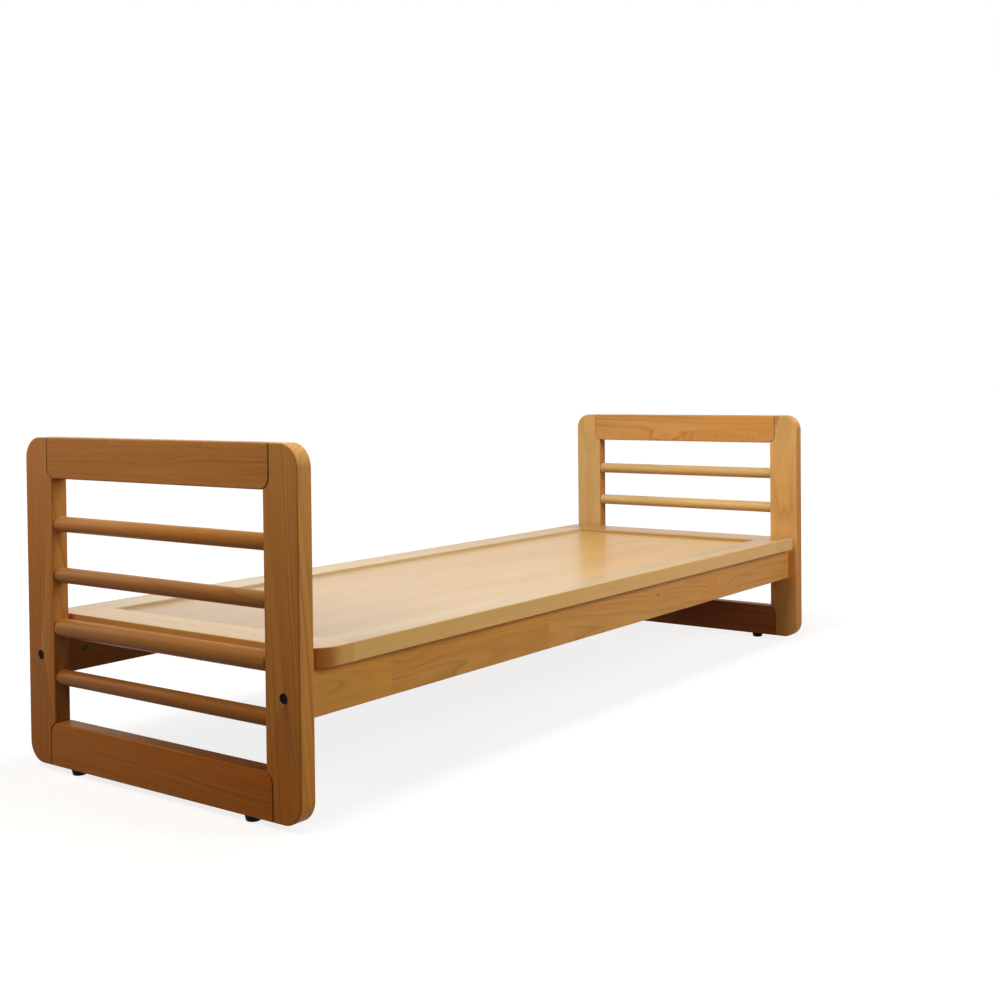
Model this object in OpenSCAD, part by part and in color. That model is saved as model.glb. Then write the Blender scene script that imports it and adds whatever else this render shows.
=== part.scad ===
// Bench bed: two ladder end frames, bolted side rails and a lift-out deck with a raised rim.
// X runs along the bed, Y from front (-) to rear (+), Z up; the origin is on the floor at the middle.

/* [Overall] */
// Length over both end frames
bed_l = 2090; // [1700:5:2300]
// Width over the end frames
bed_w = 800; // [720:5:1000]
// Height of the end frames above the floor
end_h = 688; // [620:2:800]
// Height of the glides, which lift the end frames off the floor
glide_h = 12; // [8:1:20]

/* [End frames] */
// Thickness of the stiles and of the rails between them
board_t = 35; // [30:1:45]
// Width of a stile
stile_w = 88; // [80:1:100]
// Height of the top rail
top_rail_h = 84; // [74:1:100]
// Height of the bottom rail
bottom_rail_h = 90; // [74:1:100]
// Radius of the outer corners of an end frame
frame_corner_r = 44; // [30:1:52]
// Depth to which a rail's ends are let into the stiles
housing_depth = 15.5; // [10:0.5:20]
// Radius of the rail corners that sit in the stiles
rail_corner_r = 24; // [21:1:28]
// Gap all round a rail end in its housing
housing_gap = 0.2; // [0.1:0.1:0.4]

/* [Rungs] */
// Diameter of the plain rungs
rung_d = 32; // [28:1:36]
// Diameter of the rung that lies level with the deck
deck_rung_d = 38; // [34:1:42]
// Diameter to which each rung is rounded over where it meets a stile
rung_end_d = 25; // [23.5:0.5:27]
// Diameter of the tenon on each end of a rung
rung_tenon_d = 22; // [18:1:23]
// Length of the tenon on each end of a rung
rung_tenon_l = 22; // [16:1:28]
// Height of the top rung's axis above the floor
top_rung_z = 509.5; // [480:0.5:540]
// Height of the upper rung's axis above the floor
upper_rung_z = 404.5; // [380:0.5:430]
// Height of the deck rung's axis above the floor
deck_rung_z = 295.5; // [285:0.5:310]
// Height of the low rung's axis above the floor
low_rung_z = 193.5; // [180:0.5:205]

/* [Side rails] */
// Height of a side rail
side_rail_h = 90; // [80:1:110]
// Thickness of a side rail
side_rail_t = 27; // [22:1:32]
// Distance from the end frame's edge in to the side rail's outer face
side_rail_inset = 28; // [24:1:34]

/* [Deck] */
// Height of the deck rim's top above the floor
deck_top = 319; // [300:1:340]
// Thickness of the rim boards
rim_t = 37; // [32:1:42]
// Width of the front rim board
front_rim_w = 74; // [70:1:100]
// Width of the rear rim board
rear_rim_w = 92; // [70:1:100]
// Width of the left rim board
left_rim_w = 90; // [80:1:120]
// Width of the right rim board
right_rim_w = 106; // [80:1:120]
// Distance from the end frame's edge in to the deck's edge
deck_inset = 5; // [0:1:12]
// Gap between the deck's left end and the end frame beside it
deck_left_gap = 14; // [8:1:24]
// Gap between the deck's right end and the end frame beside it
deck_right_gap = 21; // [8:1:24]
// Radius of the deck's rounded corners, at its left end
deck_corner_r = 50; // [20:1:60]
// Thickness of the plywood panel
panel_t = 12; // [9:1:15]
// Depth of the panel's face below the rim's top
panel_recess = 8; // [5:0.5:10]
// Depth of the groove that holds the panel's edge
groove_depth = 10; // [6:1:14]
// Gap between the panel's edge and the bottom of its groove
groove_end_gap = 0.5; // [0.2:0.1:0.9]
// Width of the cross battens under the panel
batten_w = 60; // [40:1:90]
// Gap between a batten's end and the rim board beside it
batten_end_gap = 0.3; // [0.1:0.1:0.9]
// Spacing of the cross battens along the bed
batten_pitch = 480; // [350:10:550]
// Length of a locating block under the deck
block_l = 200; // [120:10:300]
// Width of a locating block
block_w = 30; // [24:1:32]
// Height of a locating block
block_h = 20; // [15:1:30]
// Distance of the locating blocks from the bed's middle
block_x = 600; // [400:10:800]
// Play between a locating block and the side rail beside it
block_play = 0.8; // [0.3:0.1:0.9]

/* [Fasteners] */
// Diameter of the bolt cap and of its counterbore
cap_d = 20; // [18:0.5:24]
// Depth of the counterbore in the stile's outer face
counterbore_depth = 14; // [12:0.5:17]
// Depth of the cap's face below the stile's face
cap_recess = 1.5; // [0.5:0.1:2]
// Thickness of the cap's disc
cap_t = 2; // [1.5:0.1:2.2]
// Diameter of the corner bolt
bolt_d = 8; // [6:0.5:10]
// Diameter of the bolt's head
bolt_head_d = 13; // [11:0.5:15]
// Height of the bolt's head
bolt_head_h = 8; // [5:0.5:8]
// Width across the flats of the bolt's hexagon socket
bolt_key = 6; // [4:0.5:8]
// Diameter of the washer under the bolt's head
washer_d = 18; // [16:0.5:19]
// Thickness of the washer
washer_t = 1.6; // [1:0.1:2]
// Distance of the barrel nut from the side rail's end
nut_inset = 60; // [40:1:80]
// Diameter of the barrel nut
nut_d = 14; // [12:0.5:16]
// Length of the barrel nut
nut_l = 20; // [16:0.5:22]
// Depth of the nut's outer end below the side rail's inner face
nut_recess = 1; // [0.2:0.1:2]
// Distance that the bolt reaches past the barrel nut's axis
bolt_past_nut = 12; // [9:1:20]
// Diameter of all the wooden dowels
dowel_d = 10; // [8:0.5:12]
// Length of all the wooden dowels
dowel_l = 60; // [50:2:70]
// Length of a side rail dowel in the stile, where it stops short of the outer face
rail_dowel_in_stile = 24; // [16:1:28]
// Distance of a side rail dowel above and below the bolt
rail_dowel_offset = 28; // [24:1:34]
// Distance of an end frame's outer dowel from its rail's outer edge
frame_dowel_edge = 20; // [18:1:24]
// Spacing of the two dowels in each end frame joint
frame_dowel_pitch = 30; // [24:1:34]
// Spacing of the two dowels in each corner of the deck rim
rim_dowel_pitch = 44; // [36:1:50]
// Radial gap between a dowel, bolt, screw or tenon and its hole
hole_gap = 0.1; // [0.05:0.05:0.3]
// Spare depth left past a dowel's, tenon's or bolt's end
hole_spare = 1; // [0.5:0.5:2]
// Shank diameter of the wood screws
screw_d = 4; // [3:0.5:5]
// Head diameter of the wood screws
screw_head_d = 8; // [7:0.5:9]
// Height of the wood screws' countersunk heads
screw_head_h = 3; // [2:0.5:3.5]
// Length of the screws through the locating blocks
block_screw_l = 34; // [30:1:36]
// Distance of the block screws from the side rail's side of the block
block_screw_inset = 10; // [8:0.5:12]
// Distance of the block screws from the block's ends
block_screw_edge = 40; // [20:5:60]
// Length of the screws through the battens into the panel
batten_screw_l = 24; // [20:1:26]
// Spacing of the screws along a batten
batten_screw_pitch = 200; // [120:10:240]
// Length of the screws that hold the glides
glide_screw_l = 30; // [20:1:40]
// Diameter of a glide where it meets the bottom rail
glide_top_d = 33; // [26:1:34]
// Diameter of a glide on the floor
glide_foot_d = 27; // [20:1:28]
// Distance of the glides from the stiles' inner edges
glide_inset = 54; // [20:1:110]
// Depth of the glide screw's head inside the glide
glide_screw_recess = 3; // [2:0.5:4]

/* [Hidden] */
$fn = 96;

FRONT = -1;
REAR = 1;
LEFT = -1;
RIGHT = 1;

half_l = bed_l / 2;
half_w = bed_w / 2;
inner_x = half_l - board_t;
board_mid_x = half_l - board_t / 2;
clear_y = half_w - stile_w;
joint_y = clear_y + housing_depth;
frame_h = end_h - glide_h;
top_rail_z = end_h - top_rail_h;
bottom_rail_top = glide_h + bottom_rail_h;
glide_y = clear_y - glide_inset;

rail_top = deck_top - rim_t;
rail_mid_z = rail_top - side_rail_h / 2;
rail_outer_y = half_w - side_rail_inset;
rail_inner_y = rail_outer_y - side_rail_t;
rail_mid_y = (rail_outer_y + rail_inner_y) / 2;
nut_x = inner_x - nut_inset;
nut_mid_y = rail_inner_y + nut_recess + nut_l / 2;

deck_x0 = -inner_x + deck_left_gap;
deck_x1 = inner_x - deck_right_gap;
deck_w = bed_w - 2 * deck_inset;
deck_y0 = -deck_w / 2;
deck_y1 = deck_w / 2;
deck_mid_x = (deck_x0 + deck_x1) / 2;
open_x0 = deck_x0 + left_rim_w;
open_x1 = deck_x1 - right_rim_w;
open_y0 = deck_y0 + front_rim_w;
open_y1 = deck_y1 - rear_rim_w;
panel_top = deck_top - panel_recess;
panel_bottom = panel_top - panel_t;
rim_dowel_z = rail_top + rim_t / 2;
block_outer_y = rail_inner_y - block_play;
block_inner_y = block_outer_y - block_w;

// Past: how far a cut runs clear of the face that it opens
past = 1;
bolt_head_x = half_l - counterbore_depth + washer_t;
bolt_tip_x = nut_x - bolt_past_nut;

wood = "#c98f4e";
wood_light = "#d8a663";
ply = "#dfc29a";
steel = "#8d8f93";
black = "#1d1a18";

// Turns an outline drawn in Y and Z into a board of the left end frame
module end_board() {
  translate([-half_l, 0, 0]) rotate([90, 0, 90]) linear_extrude(board_t) children();
}

// Draws its children, which are drawn for the left front corner, at any corner
module at_corner(end_side, width_side) {
  mirror([end_side == RIGHT ? 1 : 0, 0, 0])
    mirror([0, width_side == REAR ? 1 : 0, 0])
      children();
}

module at_end(end_side) {
  at_corner(end_side, FRONT) children();
}

module at_all_corners() {
  for (end_side = [LEFT, RIGHT], width_side = [FRONT, REAR]) at_corner(end_side, width_side) children();
}

// A rod along X, from x0 to x1
module rod_x(x0, x1, d) {
  translate([x0, 0, 0]) rotate([0, 90, 0]) cylinder(h = x1 - x0, d = d);
}

// A rod along Y, from y0 to y1
module rod_y(y0, y1, d) {
  translate([0, y0, 0]) rotate([-90, 0, 0]) cylinder(h = y1 - y0, d = d);
}

// The outline of a whole end frame, in Y and Z, with its four rounded corners
module frame_outline() {
  r = frame_corner_r;
  translate([-half_w + r, glide_h]) square([bed_w - 2 * r, frame_h]);
  translate([-half_w, glide_h + r]) square([bed_w, frame_h - 2 * r]);
  for (y = [-half_w + r, half_w - r], z = [glide_h + r, end_h - r]) translate([y, z]) circle(r);
}

// A rail's outline with its ends let into the stiles; its rounded corners point down to z = 0
module rail_outline(h, grow) {
  r = rail_corner_r + grow;
  l = joint_y + grow;
  translate([-l, r - grow]) square([2 * l, h - r + grow + past]);
  translate([-l + r, -grow]) square([2 * (l - r), r]);
  for (y = [-l + r, l - r]) translate([y, r - grow]) circle(r);
}

module top_rail_outline(grow = 0) {
  translate([0, top_rail_z]) rail_outline(top_rail_h, grow);
}

module bottom_rail_outline(grow = 0) {
  translate([0, bottom_rail_top]) mirror([0, 1]) rail_outline(bottom_rail_h, grow);
}

// Heights of the dowels between an end frame's rails and stiles
frame_dowel_z = [
  for (step = [0, 1]) glide_h + frame_dowel_edge + step * frame_dowel_pitch,
  for (step = [0, 1]) end_h - frame_dowel_edge - step * frame_dowel_pitch
];

// The dowels of the left front stile, or their holes
module frame_dowel_row(gap, spare) {
  for (z = frame_dowel_z)
    translate([-board_mid_x, 0, z])
      rod_y(-joint_y - dowel_l / 2 - spare, -joint_y + dowel_l / 2 + spare, dowel_d + 2 * gap);
}

// The two dowels between the left stile and the side rail, or their holes
module side_rail_dowel_pair(gap, spare) {
  for (z = [rail_mid_z - rail_dowel_offset, rail_mid_z + rail_dowel_offset])
    translate([0, -rail_mid_y, z])
      rod_x(
        -inner_x - rail_dowel_in_stile - spare,
        -inner_x - rail_dowel_in_stile + dowel_l + spare,
        dowel_d + 2 * gap
      );
}

module bolt_shank(gap, spare) {
  translate([0, -rail_mid_y, rail_mid_z])
    rod_x(-bolt_head_x, -bolt_tip_x + spare, bolt_d + 2 * gap);
}

module stile() {
  color(wood) difference() {
    end_board() difference() {
      intersection() {
        frame_outline();
        translate([-half_w, 0]) square([stile_w, end_h]);
      }
      top_rail_outline(housing_gap);
      bottom_rail_outline(housing_gap);
    }
    for (z = [top_rung_z, upper_rung_z, deck_rung_z, low_rung_z])
      translate([-board_mid_x, 0, z])
        rod_y(-clear_y - rung_tenon_l - hole_spare, -clear_y + past, rung_tenon_d + 2 * hole_gap);
    frame_dowel_row(hole_gap, hole_spare);
    side_rail_dowel_pair(hole_gap, hole_spare);
    bolt_shank(hole_gap, hole_spare);
    translate([0, -rail_mid_y, rail_mid_z])
      rod_x(-half_l - past, -half_l + counterbore_depth, cap_d + 2 * hole_gap);
  }
}

module top_rail() {
  color(wood) difference() {
    end_board() intersection() {
      frame_outline();
      top_rail_outline();
    }
    frame_dowel_holes();
  }
}

module bottom_rail() {
  color(wood) difference() {
    end_board() intersection() {
      frame_outline();
      bottom_rail_outline();
    }
    frame_dowel_holes();
    for (y = [-glide_y, glide_y])
      translate([-board_mid_x, y, 0])
        cylinder(h = glide_screw_recess + glide_screw_l + hole_spare, d = screw_d + 2 * hole_gap);
  }
}

module frame_dowel_holes() {
  for (width_side = [FRONT, REAR]) at_corner(LEFT, width_side) frame_dowel_row(hole_gap, hole_spare);
}

module frame_dowels() {
  color(wood_light)
    for (width_side = [FRONT, REAR]) at_corner(LEFT, width_side) frame_dowel_row(0, 0);
}

// Half of a rung's profile: radius along x, length along y
module half_rung_profile(d) {
  round_r = (d - rung_end_d) / 2;
  square([rung_end_d / 2, clear_y]);
  square([d / 2, clear_y - round_r]);
  translate([rung_end_d / 2, clear_y - round_r]) circle(round_r);
  square([rung_tenon_d / 2, clear_y + rung_tenon_l]);
}

module rung(z, d) {
  color(wood)
    translate([-board_mid_x, 0, z]) rotate([90, 0, 0]) rotate_extrude() {
      half_rung_profile(d);
      mirror([0, 1]) half_rung_profile(d);
    }
}

// A countersunk wood screw that points up, with its head's face at z = 0
module wood_screw(l) {
  difference() {
    union() {
      cylinder(h = screw_head_h, d1 = screw_head_d, d2 = screw_d);
      cylinder(h = l, d = screw_d);
    }
    for (turn = [0, 90])
      rotate([0, 0, turn])
        translate([-screw_head_d / 4, -screw_d / 8, -past])
          cube([screw_head_d / 2, screw_d / 4, past + screw_head_h / 2]);
  }
}

// The hole for a wood screw, through piece and into what it holds
module screw_hole(l) {
  translate([0, 0, -past]) cylinder(h = past, d = screw_head_d + 2 * hole_gap);
  cylinder(h = screw_head_h, d1 = screw_head_d + 2 * hole_gap, d2 = screw_d + 2 * hole_gap);
  cylinder(h = l + hole_spare, d = screw_d + 2 * hole_gap);
}

module glide() {
  color(black) difference() {
    cylinder(h = glide_h, d1 = glide_foot_d, d2 = glide_top_d);
    translate([0, 0, -past])
      cylinder(h = past + glide_screw_recess, d = screw_head_d + 2 * hole_gap);
    translate([0, 0, glide_screw_recess]) screw_hole(glide_screw_l);
  }
}

module glides() {
  for (y = [-glide_y, glide_y]) translate([-board_mid_x, y, 0]) glide();
}

module glide_screws() {
  color(steel)
    for (x = [-board_mid_x, board_mid_x], y = [-glide_y, glide_y])
      translate([x, y, glide_screw_recess]) wood_screw(glide_screw_l);
}

module side_rail() {
  color(wood) difference() {
    translate([-inner_x, -rail_outer_y, rail_top - side_rail_h])
      cube([2 * inner_x, side_rail_t, side_rail_h]);
    for (end_side = [LEFT, RIGHT]) at_end(end_side) {
      side_rail_dowel_pair(hole_gap, hole_spare);
      bolt_shank(hole_gap, hole_spare);
      translate([-nut_x, 0, rail_mid_z])
        rod_y(-nut_mid_y - nut_l / 2 - hole_spare, -rail_inner_y + past, nut_d + 2 * hole_gap);
    }
  }
}

module side_rail_dowels() {
  color(wood_light) at_all_corners() side_rail_dowel_pair(0, 0);
}

// A socket head bolt; its shank runs through the stile and the barrel nut
module corner_bolts() {
  color(steel) at_all_corners() difference() {
    union() {
      bolt_shank(0, 0);
      translate([0, -rail_mid_y, rail_mid_z])
        rod_x(-bolt_head_x - bolt_head_h, -bolt_head_x, bolt_head_d);
    }
    translate([-bolt_head_x - bolt_head_h - past, -rail_mid_y, rail_mid_z])
      rotate([0, 90, 0])
        cylinder(h = past + bolt_head_h / 2, d = bolt_key / cos(30), $fn = 6);
  }
}

module bolt_washers() {
  color(steel) at_all_corners() translate([0, -rail_mid_y, rail_mid_z]) difference() {
    rod_x(-bolt_head_x, -bolt_head_x + washer_t, washer_d);
    rod_x(-bolt_head_x - past, -bolt_head_x + washer_t + past, bolt_d + 2 * hole_gap);
  }
}

// A press-in cap: a disc with a short hollow skirt that holds it in the counterbore
module bolt_caps() {
  skirt_l = counterbore_depth - cap_recess - washer_t;
  skirt_t = (cap_d - washer_d) / 2 + hole_gap;
  color(black) at_all_corners() translate([-half_l + cap_recess, -rail_mid_y, rail_mid_z]) difference() {
    rod_x(0, skirt_l, cap_d);
    rod_x(cap_t, skirt_l + past, cap_d - 2 * skirt_t);
  }
}

module barrel_nuts() {
  color(steel) at_all_corners() difference() {
    translate([-nut_x, 0, rail_mid_z]) rod_y(-nut_mid_y - nut_l / 2, -nut_mid_y + nut_l / 2, nut_d);
    bolt_shank(hole_gap, hole_spare);
    translate([-nut_x - nut_d / 2 - past, -nut_mid_y + nut_l / 2 - nut_d / 7, rail_mid_z - nut_d / 14])
      cube([nut_d + 2 * past, nut_d / 7 + past, nut_d / 7]);
  }
}

// A block between two corners
module block(x0, y0, z0, x1, y1, z1) {
  translate([x0, y0, z0]) cube([x1 - x0, y1 - y0, z1 - z0]);
}

// The left rim board's outline in X and Y, with the deck's two rounded corners
module left_rim_outline() {
  r = deck_corner_r;
  intersection() {
    translate([deck_x0, deck_y0]) square([left_rim_w, deck_w]);
    union() {
      translate([deck_x0 + r, deck_y0]) square([left_rim_w, deck_w]);
      translate([deck_x0, deck_y0 + r]) square([left_rim_w, deck_w - 2 * r]);
      for (y = [deck_y0 + r, deck_y1 - r]) translate([deck_x0 + r, y]) circle(r);
    }
  }
}

// The room for the panel and its edges, cut as a groove into the rim boards
module panel_groove() {
  block(
    open_x0 - groove_depth, open_y0 - groove_depth, panel_bottom - hole_gap,
    open_x1 + groove_depth, open_y1 + groove_depth, panel_top + hole_gap
  );
}

module rim_dowel_set(gap, spare) {
  for (x = [open_x0, open_x1], y = [deck_y0 + front_rim_w / 2, deck_y1 - rear_rim_w / 2], step = [-0.5, 0.5])
    translate([0, y + step * rim_dowel_pitch, rim_dowel_z])
      rod_x(x - dowel_l / 2 - spare, x + dowel_l / 2 + spare, dowel_d + 2 * gap);
}

module left_rim() {
  color(wood_light) difference() {
    translate([0, 0, rail_top]) linear_extrude(rim_t) left_rim_outline();
    panel_groove();
    rim_dowel_set(hole_gap, hole_spare);
  }
}

module right_rim() {
  color(wood_light) difference() {
    block(open_x1, deck_y0, rail_top, deck_x1, deck_y1, deck_top);
    panel_groove();
    rim_dowel_set(hole_gap, hole_spare);
  }
}

module long_rim(y0, y1) {
  color(wood_light) difference() {
    block(open_x0, y0, rail_top, open_x1, y1, deck_top);
    panel_groove();
    rim_dowel_set(hole_gap, hole_spare);
    block_screw_set() screw_hole(block_screw_l);
  }
}

module rim_dowels() {
  color(wood_light) rim_dowel_set(0, 0);
}

module deck_panel() {
  edge = groove_depth - groove_end_gap;
  color(ply) difference() {
    block(
      open_x0 - edge, open_y0 - edge, panel_bottom,
      open_x1 + edge, open_y1 + edge, panel_top
    );
    batten_screw_set() screw_hole(batten_screw_l);
  }
}

module batten_screw_set() {
  for (bay = [-1, 0, 1], step = [-1, 0, 1])
    translate([deck_mid_x + bay * batten_pitch, step * batten_screw_pitch, rail_top]) children();
}

// A cross batten, counted in bays from the deck's middle
module batten(bay) {
  x = deck_mid_x + bay * batten_pitch;
  color(wood_light) difference() {
    block(
      x - batten_w / 2, open_y0 + batten_end_gap, rail_top,
      x + batten_w / 2, open_y1 - batten_end_gap, panel_bottom
    );
    batten_screw_set() screw_hole(batten_screw_l);
  }
}

module batten_screws() {
  color(steel) batten_screw_set() wood_screw(batten_screw_l);
}

module block_screw_set() {
  for (x = [-block_x, block_x], end = [-1, 1], width_side = [FRONT, REAR])
    translate([
      x + end * (block_l / 2 - block_screw_edge),
      width_side * (block_outer_y - block_screw_inset),
      rail_top - block_h
    ]) children();
}

module locating_blocks(width_side) {
  color(wood_light) difference() {
    for (x = [-block_x, block_x])
      at_corner(LEFT, width_side)
        block(
          x - block_l / 2, -block_outer_y, rail_top - block_h,
          x + block_l / 2, -block_inner_y, rail_top
        );
    block_screw_set() screw_hole(block_screw_l);
  }
}

module block_screws() {
  color(steel) block_screw_set() wood_screw(block_screw_l);
}

at_corner(LEFT, FRONT) stile();  // left_front_stile
at_corner(LEFT, REAR) stile();  // left_rear_stile
at_end(LEFT) top_rail();  // left_top_rail
at_end(LEFT) bottom_rail();  // left_bottom_rail
at_end(LEFT) rung(top_rung_z, rung_d);  // left_top_rung
at_end(LEFT) rung(upper_rung_z, rung_d);  // left_upper_rung
at_end(LEFT) rung(deck_rung_z, deck_rung_d);  // left_deck_rung
at_end(LEFT) rung(low_rung_z, rung_d);  // left_low_rung
at_end(LEFT) frame_dowels();  // left_frame_dowels
at_end(LEFT) glides();  // left_glides
at_corner(RIGHT, FRONT) stile();  // right_front_stile
at_corner(RIGHT, REAR) stile();  // right_rear_stile
at_end(RIGHT) top_rail();  // right_top_rail
at_end(RIGHT) bottom_rail();  // right_bottom_rail
at_end(RIGHT) rung(top_rung_z, rung_d);  // right_top_rung
at_end(RIGHT) rung(upper_rung_z, rung_d);  // right_upper_rung
at_end(RIGHT) rung(deck_rung_z, deck_rung_d);  // right_deck_rung
at_end(RIGHT) rung(low_rung_z, rung_d);  // right_low_rung
at_end(RIGHT) frame_dowels();  // right_frame_dowels
at_end(RIGHT) glides();  // right_glides
at_corner(LEFT, FRONT) side_rail();  // front_side_rail
at_corner(LEFT, REAR) side_rail();  // rear_side_rail
side_rail_dowels();
corner_bolts();
bolt_washers();
bolt_caps();
barrel_nuts();
glide_screws();
deck_panel();
long_rim(deck_y0, open_y0);  // front_rim
long_rim(open_y1, deck_y1);  // rear_rim
left_rim();
right_rim();
rim_dowels();
batten(-1);  // left_batten
batten(0);  // middle_batten
batten(1);  // right_batten
batten_screws();
locating_blocks(FRONT);  // front_locating_blocks
locating_blocks(REAR);  // rear_locating_blocks
block_screws();
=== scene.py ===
"""The bench bed's looks: boards, rungs, deck, fittings, their finishes, and the studio around them.

Lengths are in metres, in the bed's frame: X along it, Y across it to the rear, and Z up from the floor. In
the names of sizes _l stands for a length, _w a width, _h a height, _t a thickness and _r a radius.
"""

from __future__ import annotations

import logging
import math
from dataclasses import dataclass, replace
from enum import Enum

import bpy
import numpy as np
import numpy.typing as npt
from mathutils import Matrix
from mathutils.geometry import tessellate_polygon

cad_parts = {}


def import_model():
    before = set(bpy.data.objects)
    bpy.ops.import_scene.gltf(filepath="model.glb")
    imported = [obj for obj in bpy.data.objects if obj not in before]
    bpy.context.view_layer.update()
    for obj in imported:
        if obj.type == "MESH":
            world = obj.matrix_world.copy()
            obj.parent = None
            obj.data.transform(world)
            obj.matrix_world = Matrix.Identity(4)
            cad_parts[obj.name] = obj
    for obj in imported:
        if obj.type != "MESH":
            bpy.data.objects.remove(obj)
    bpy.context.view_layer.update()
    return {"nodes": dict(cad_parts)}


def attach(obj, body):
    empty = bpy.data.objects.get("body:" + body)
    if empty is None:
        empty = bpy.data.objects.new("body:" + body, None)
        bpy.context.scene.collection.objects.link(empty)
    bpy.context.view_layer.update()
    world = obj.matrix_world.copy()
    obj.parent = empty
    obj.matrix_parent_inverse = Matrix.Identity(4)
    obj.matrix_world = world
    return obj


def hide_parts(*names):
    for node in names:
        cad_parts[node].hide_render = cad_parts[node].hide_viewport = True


Array = npt.NDArray[np.float64]
Pair = tuple[float, float]
Point = tuple[float, float, float]
Colour = tuple[float, float, float]
Casts = tuple[Colour, ...]
Face = tuple[int, ...]
Socket = bpy.types.NodeSocket

LOG = logging.getLogger("bench_bed")
BED_FRAME = "bed_frame"
DECK = "deck"
# The bed's middle, from which the boards' edges look outwards or inwards
MIDDLE = np.array([0.0, 0.0, 0.344])
# Radius of a corner that is only eased, of one that is a little softer, and the least that is left of one
EASE = 0.0006
SOFT = 0.0012
TINY = 0.00002
# Points that agree to this step are one point
WELD_STEP = 2e-7
# The bend of a profile, in degrees, up to which the turned surface stays smooth
SMOOTH_BEND = 40
WHITE = (1.0, 1.0, 1.0)
# The length of a surface's row, and where its two weights are
ROW, ARRIS, SEAM = 8, 6, 7


def paint(red: int, green: int, blue: int) -> Colour:
    """Turns a colour written as 0 to 255 into the linear values that a shader takes.

    Args:
        red: Red as seen, 0 to 255.
        green: Green as seen, 0 to 255.
        blue: Blue as seen, 0 to 255.

    Returns:
        The linear colour; each channel follows the usual curve ((c + 0.055) / 1.055) to the power 2.4.
    """
    seen = np.array([red, green, blue]) / 255.0
    linear = np.where(seen <= 0.04045, seen / 12.92, ((seen + 0.055) / 1.055) ** 2.4)
    return (float(linear[0]), float(linear[1]), float(linear[2]))


class Axis(Enum):
    """An axis of the bed: along it, across it, or up."""

    X = 0
    Y = 1
    Z = 2


class Named(Enum):
    """A choice whose name is a part of the nodes' names."""

    @property
    def word(self) -> str:
        """The choice as the nodes spell it."""
        return self.name.lower()


class Side(Named):
    """An end of the bed, as the sign of its coordinate."""

    LEFT = -1
    RIGHT = 1


class Depth(Named):
    """The front or the rear of the bed, as the sign of its coordinate."""

    FRONT = -1
    REAR = 1


@dataclass(frozen=True)
class Tint:
    """The colour casts of a board, by which its wood's colour is multiplied: the wood's own tone, with
    painted light and shade.

    Casts in a row are evenly spaced from the board's low end to its other end, and are read at its points.

    Attributes:
        faces: The casts of its faces: the wood's own tone, with painted light and shade along the board.
        flank: The casts of its outward edges, where they differ from its faces': painted light and shade by
            the way they face.
        reveal: The casts of its inward edges, where they differ from its faces': painted light and shade by
            the way they face.
        edge: Tone of its arrises against its faces: painted shade on the arrises below 1, painted light above
            1.
    """

    faces: Casts = (WHITE,)
    flank: Casts = ()
    reveal: Casts = ()
    edge: float = 1.0

    def shades(self, along: Array, way: Array) -> Array:
        """Each point's colour cast with its painted light and shade, and the arris tone as its fourth value.

        Args:
            along: The points' places along the grain.
            way: Which way each point's edge looks: 1 outwards, -1 inwards, and 0 for a face.

        Returns:
            Rows of red, green, blue and tone.
        """
        share = (along - along.min()) / np.ptp(along)

        def blend(casts: Casts) -> Array:
            """The cast at each point, between the two nearest of the evenly spaced ones."""
            places = np.linspace(0.0, 1.0, len(casts))
            return np.column_stack([np.interp(share, places, channel) for channel in zip(*casts)])

        cast = blend(self.faces)
        for edge_casts, weight in ((self.flank, way), (self.reveal, -way)):
            if edge_casts:
                cast += (blend(edge_casts) - cast) * np.clip(weight * 2 - 1, 0, 1)[:, None]
        return np.column_stack([cast, np.full(len(along), self.edge)])


# Painted light and shade on the outward and inward edges of the left stiles, the right stiles and the long
# rim boards
LEFT_EDGES = (((1.02, 0.93, 0.64), (1.14, 1.22, 1.25)), ((0.66, 0.58, 0.50), (0.75, 0.71, 0.60)))
RIGHT_EDGES = (((0.95, 0.78, 0.40), (0.94, 0.96, 0.92)), ((0.88, 0.82, 0.74),))
RIM_EDGES = (((1.08, 0.95, 0.61), (0.98, 0.79, 0.50)), ((0.66, 0.76, 0.94),))
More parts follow.
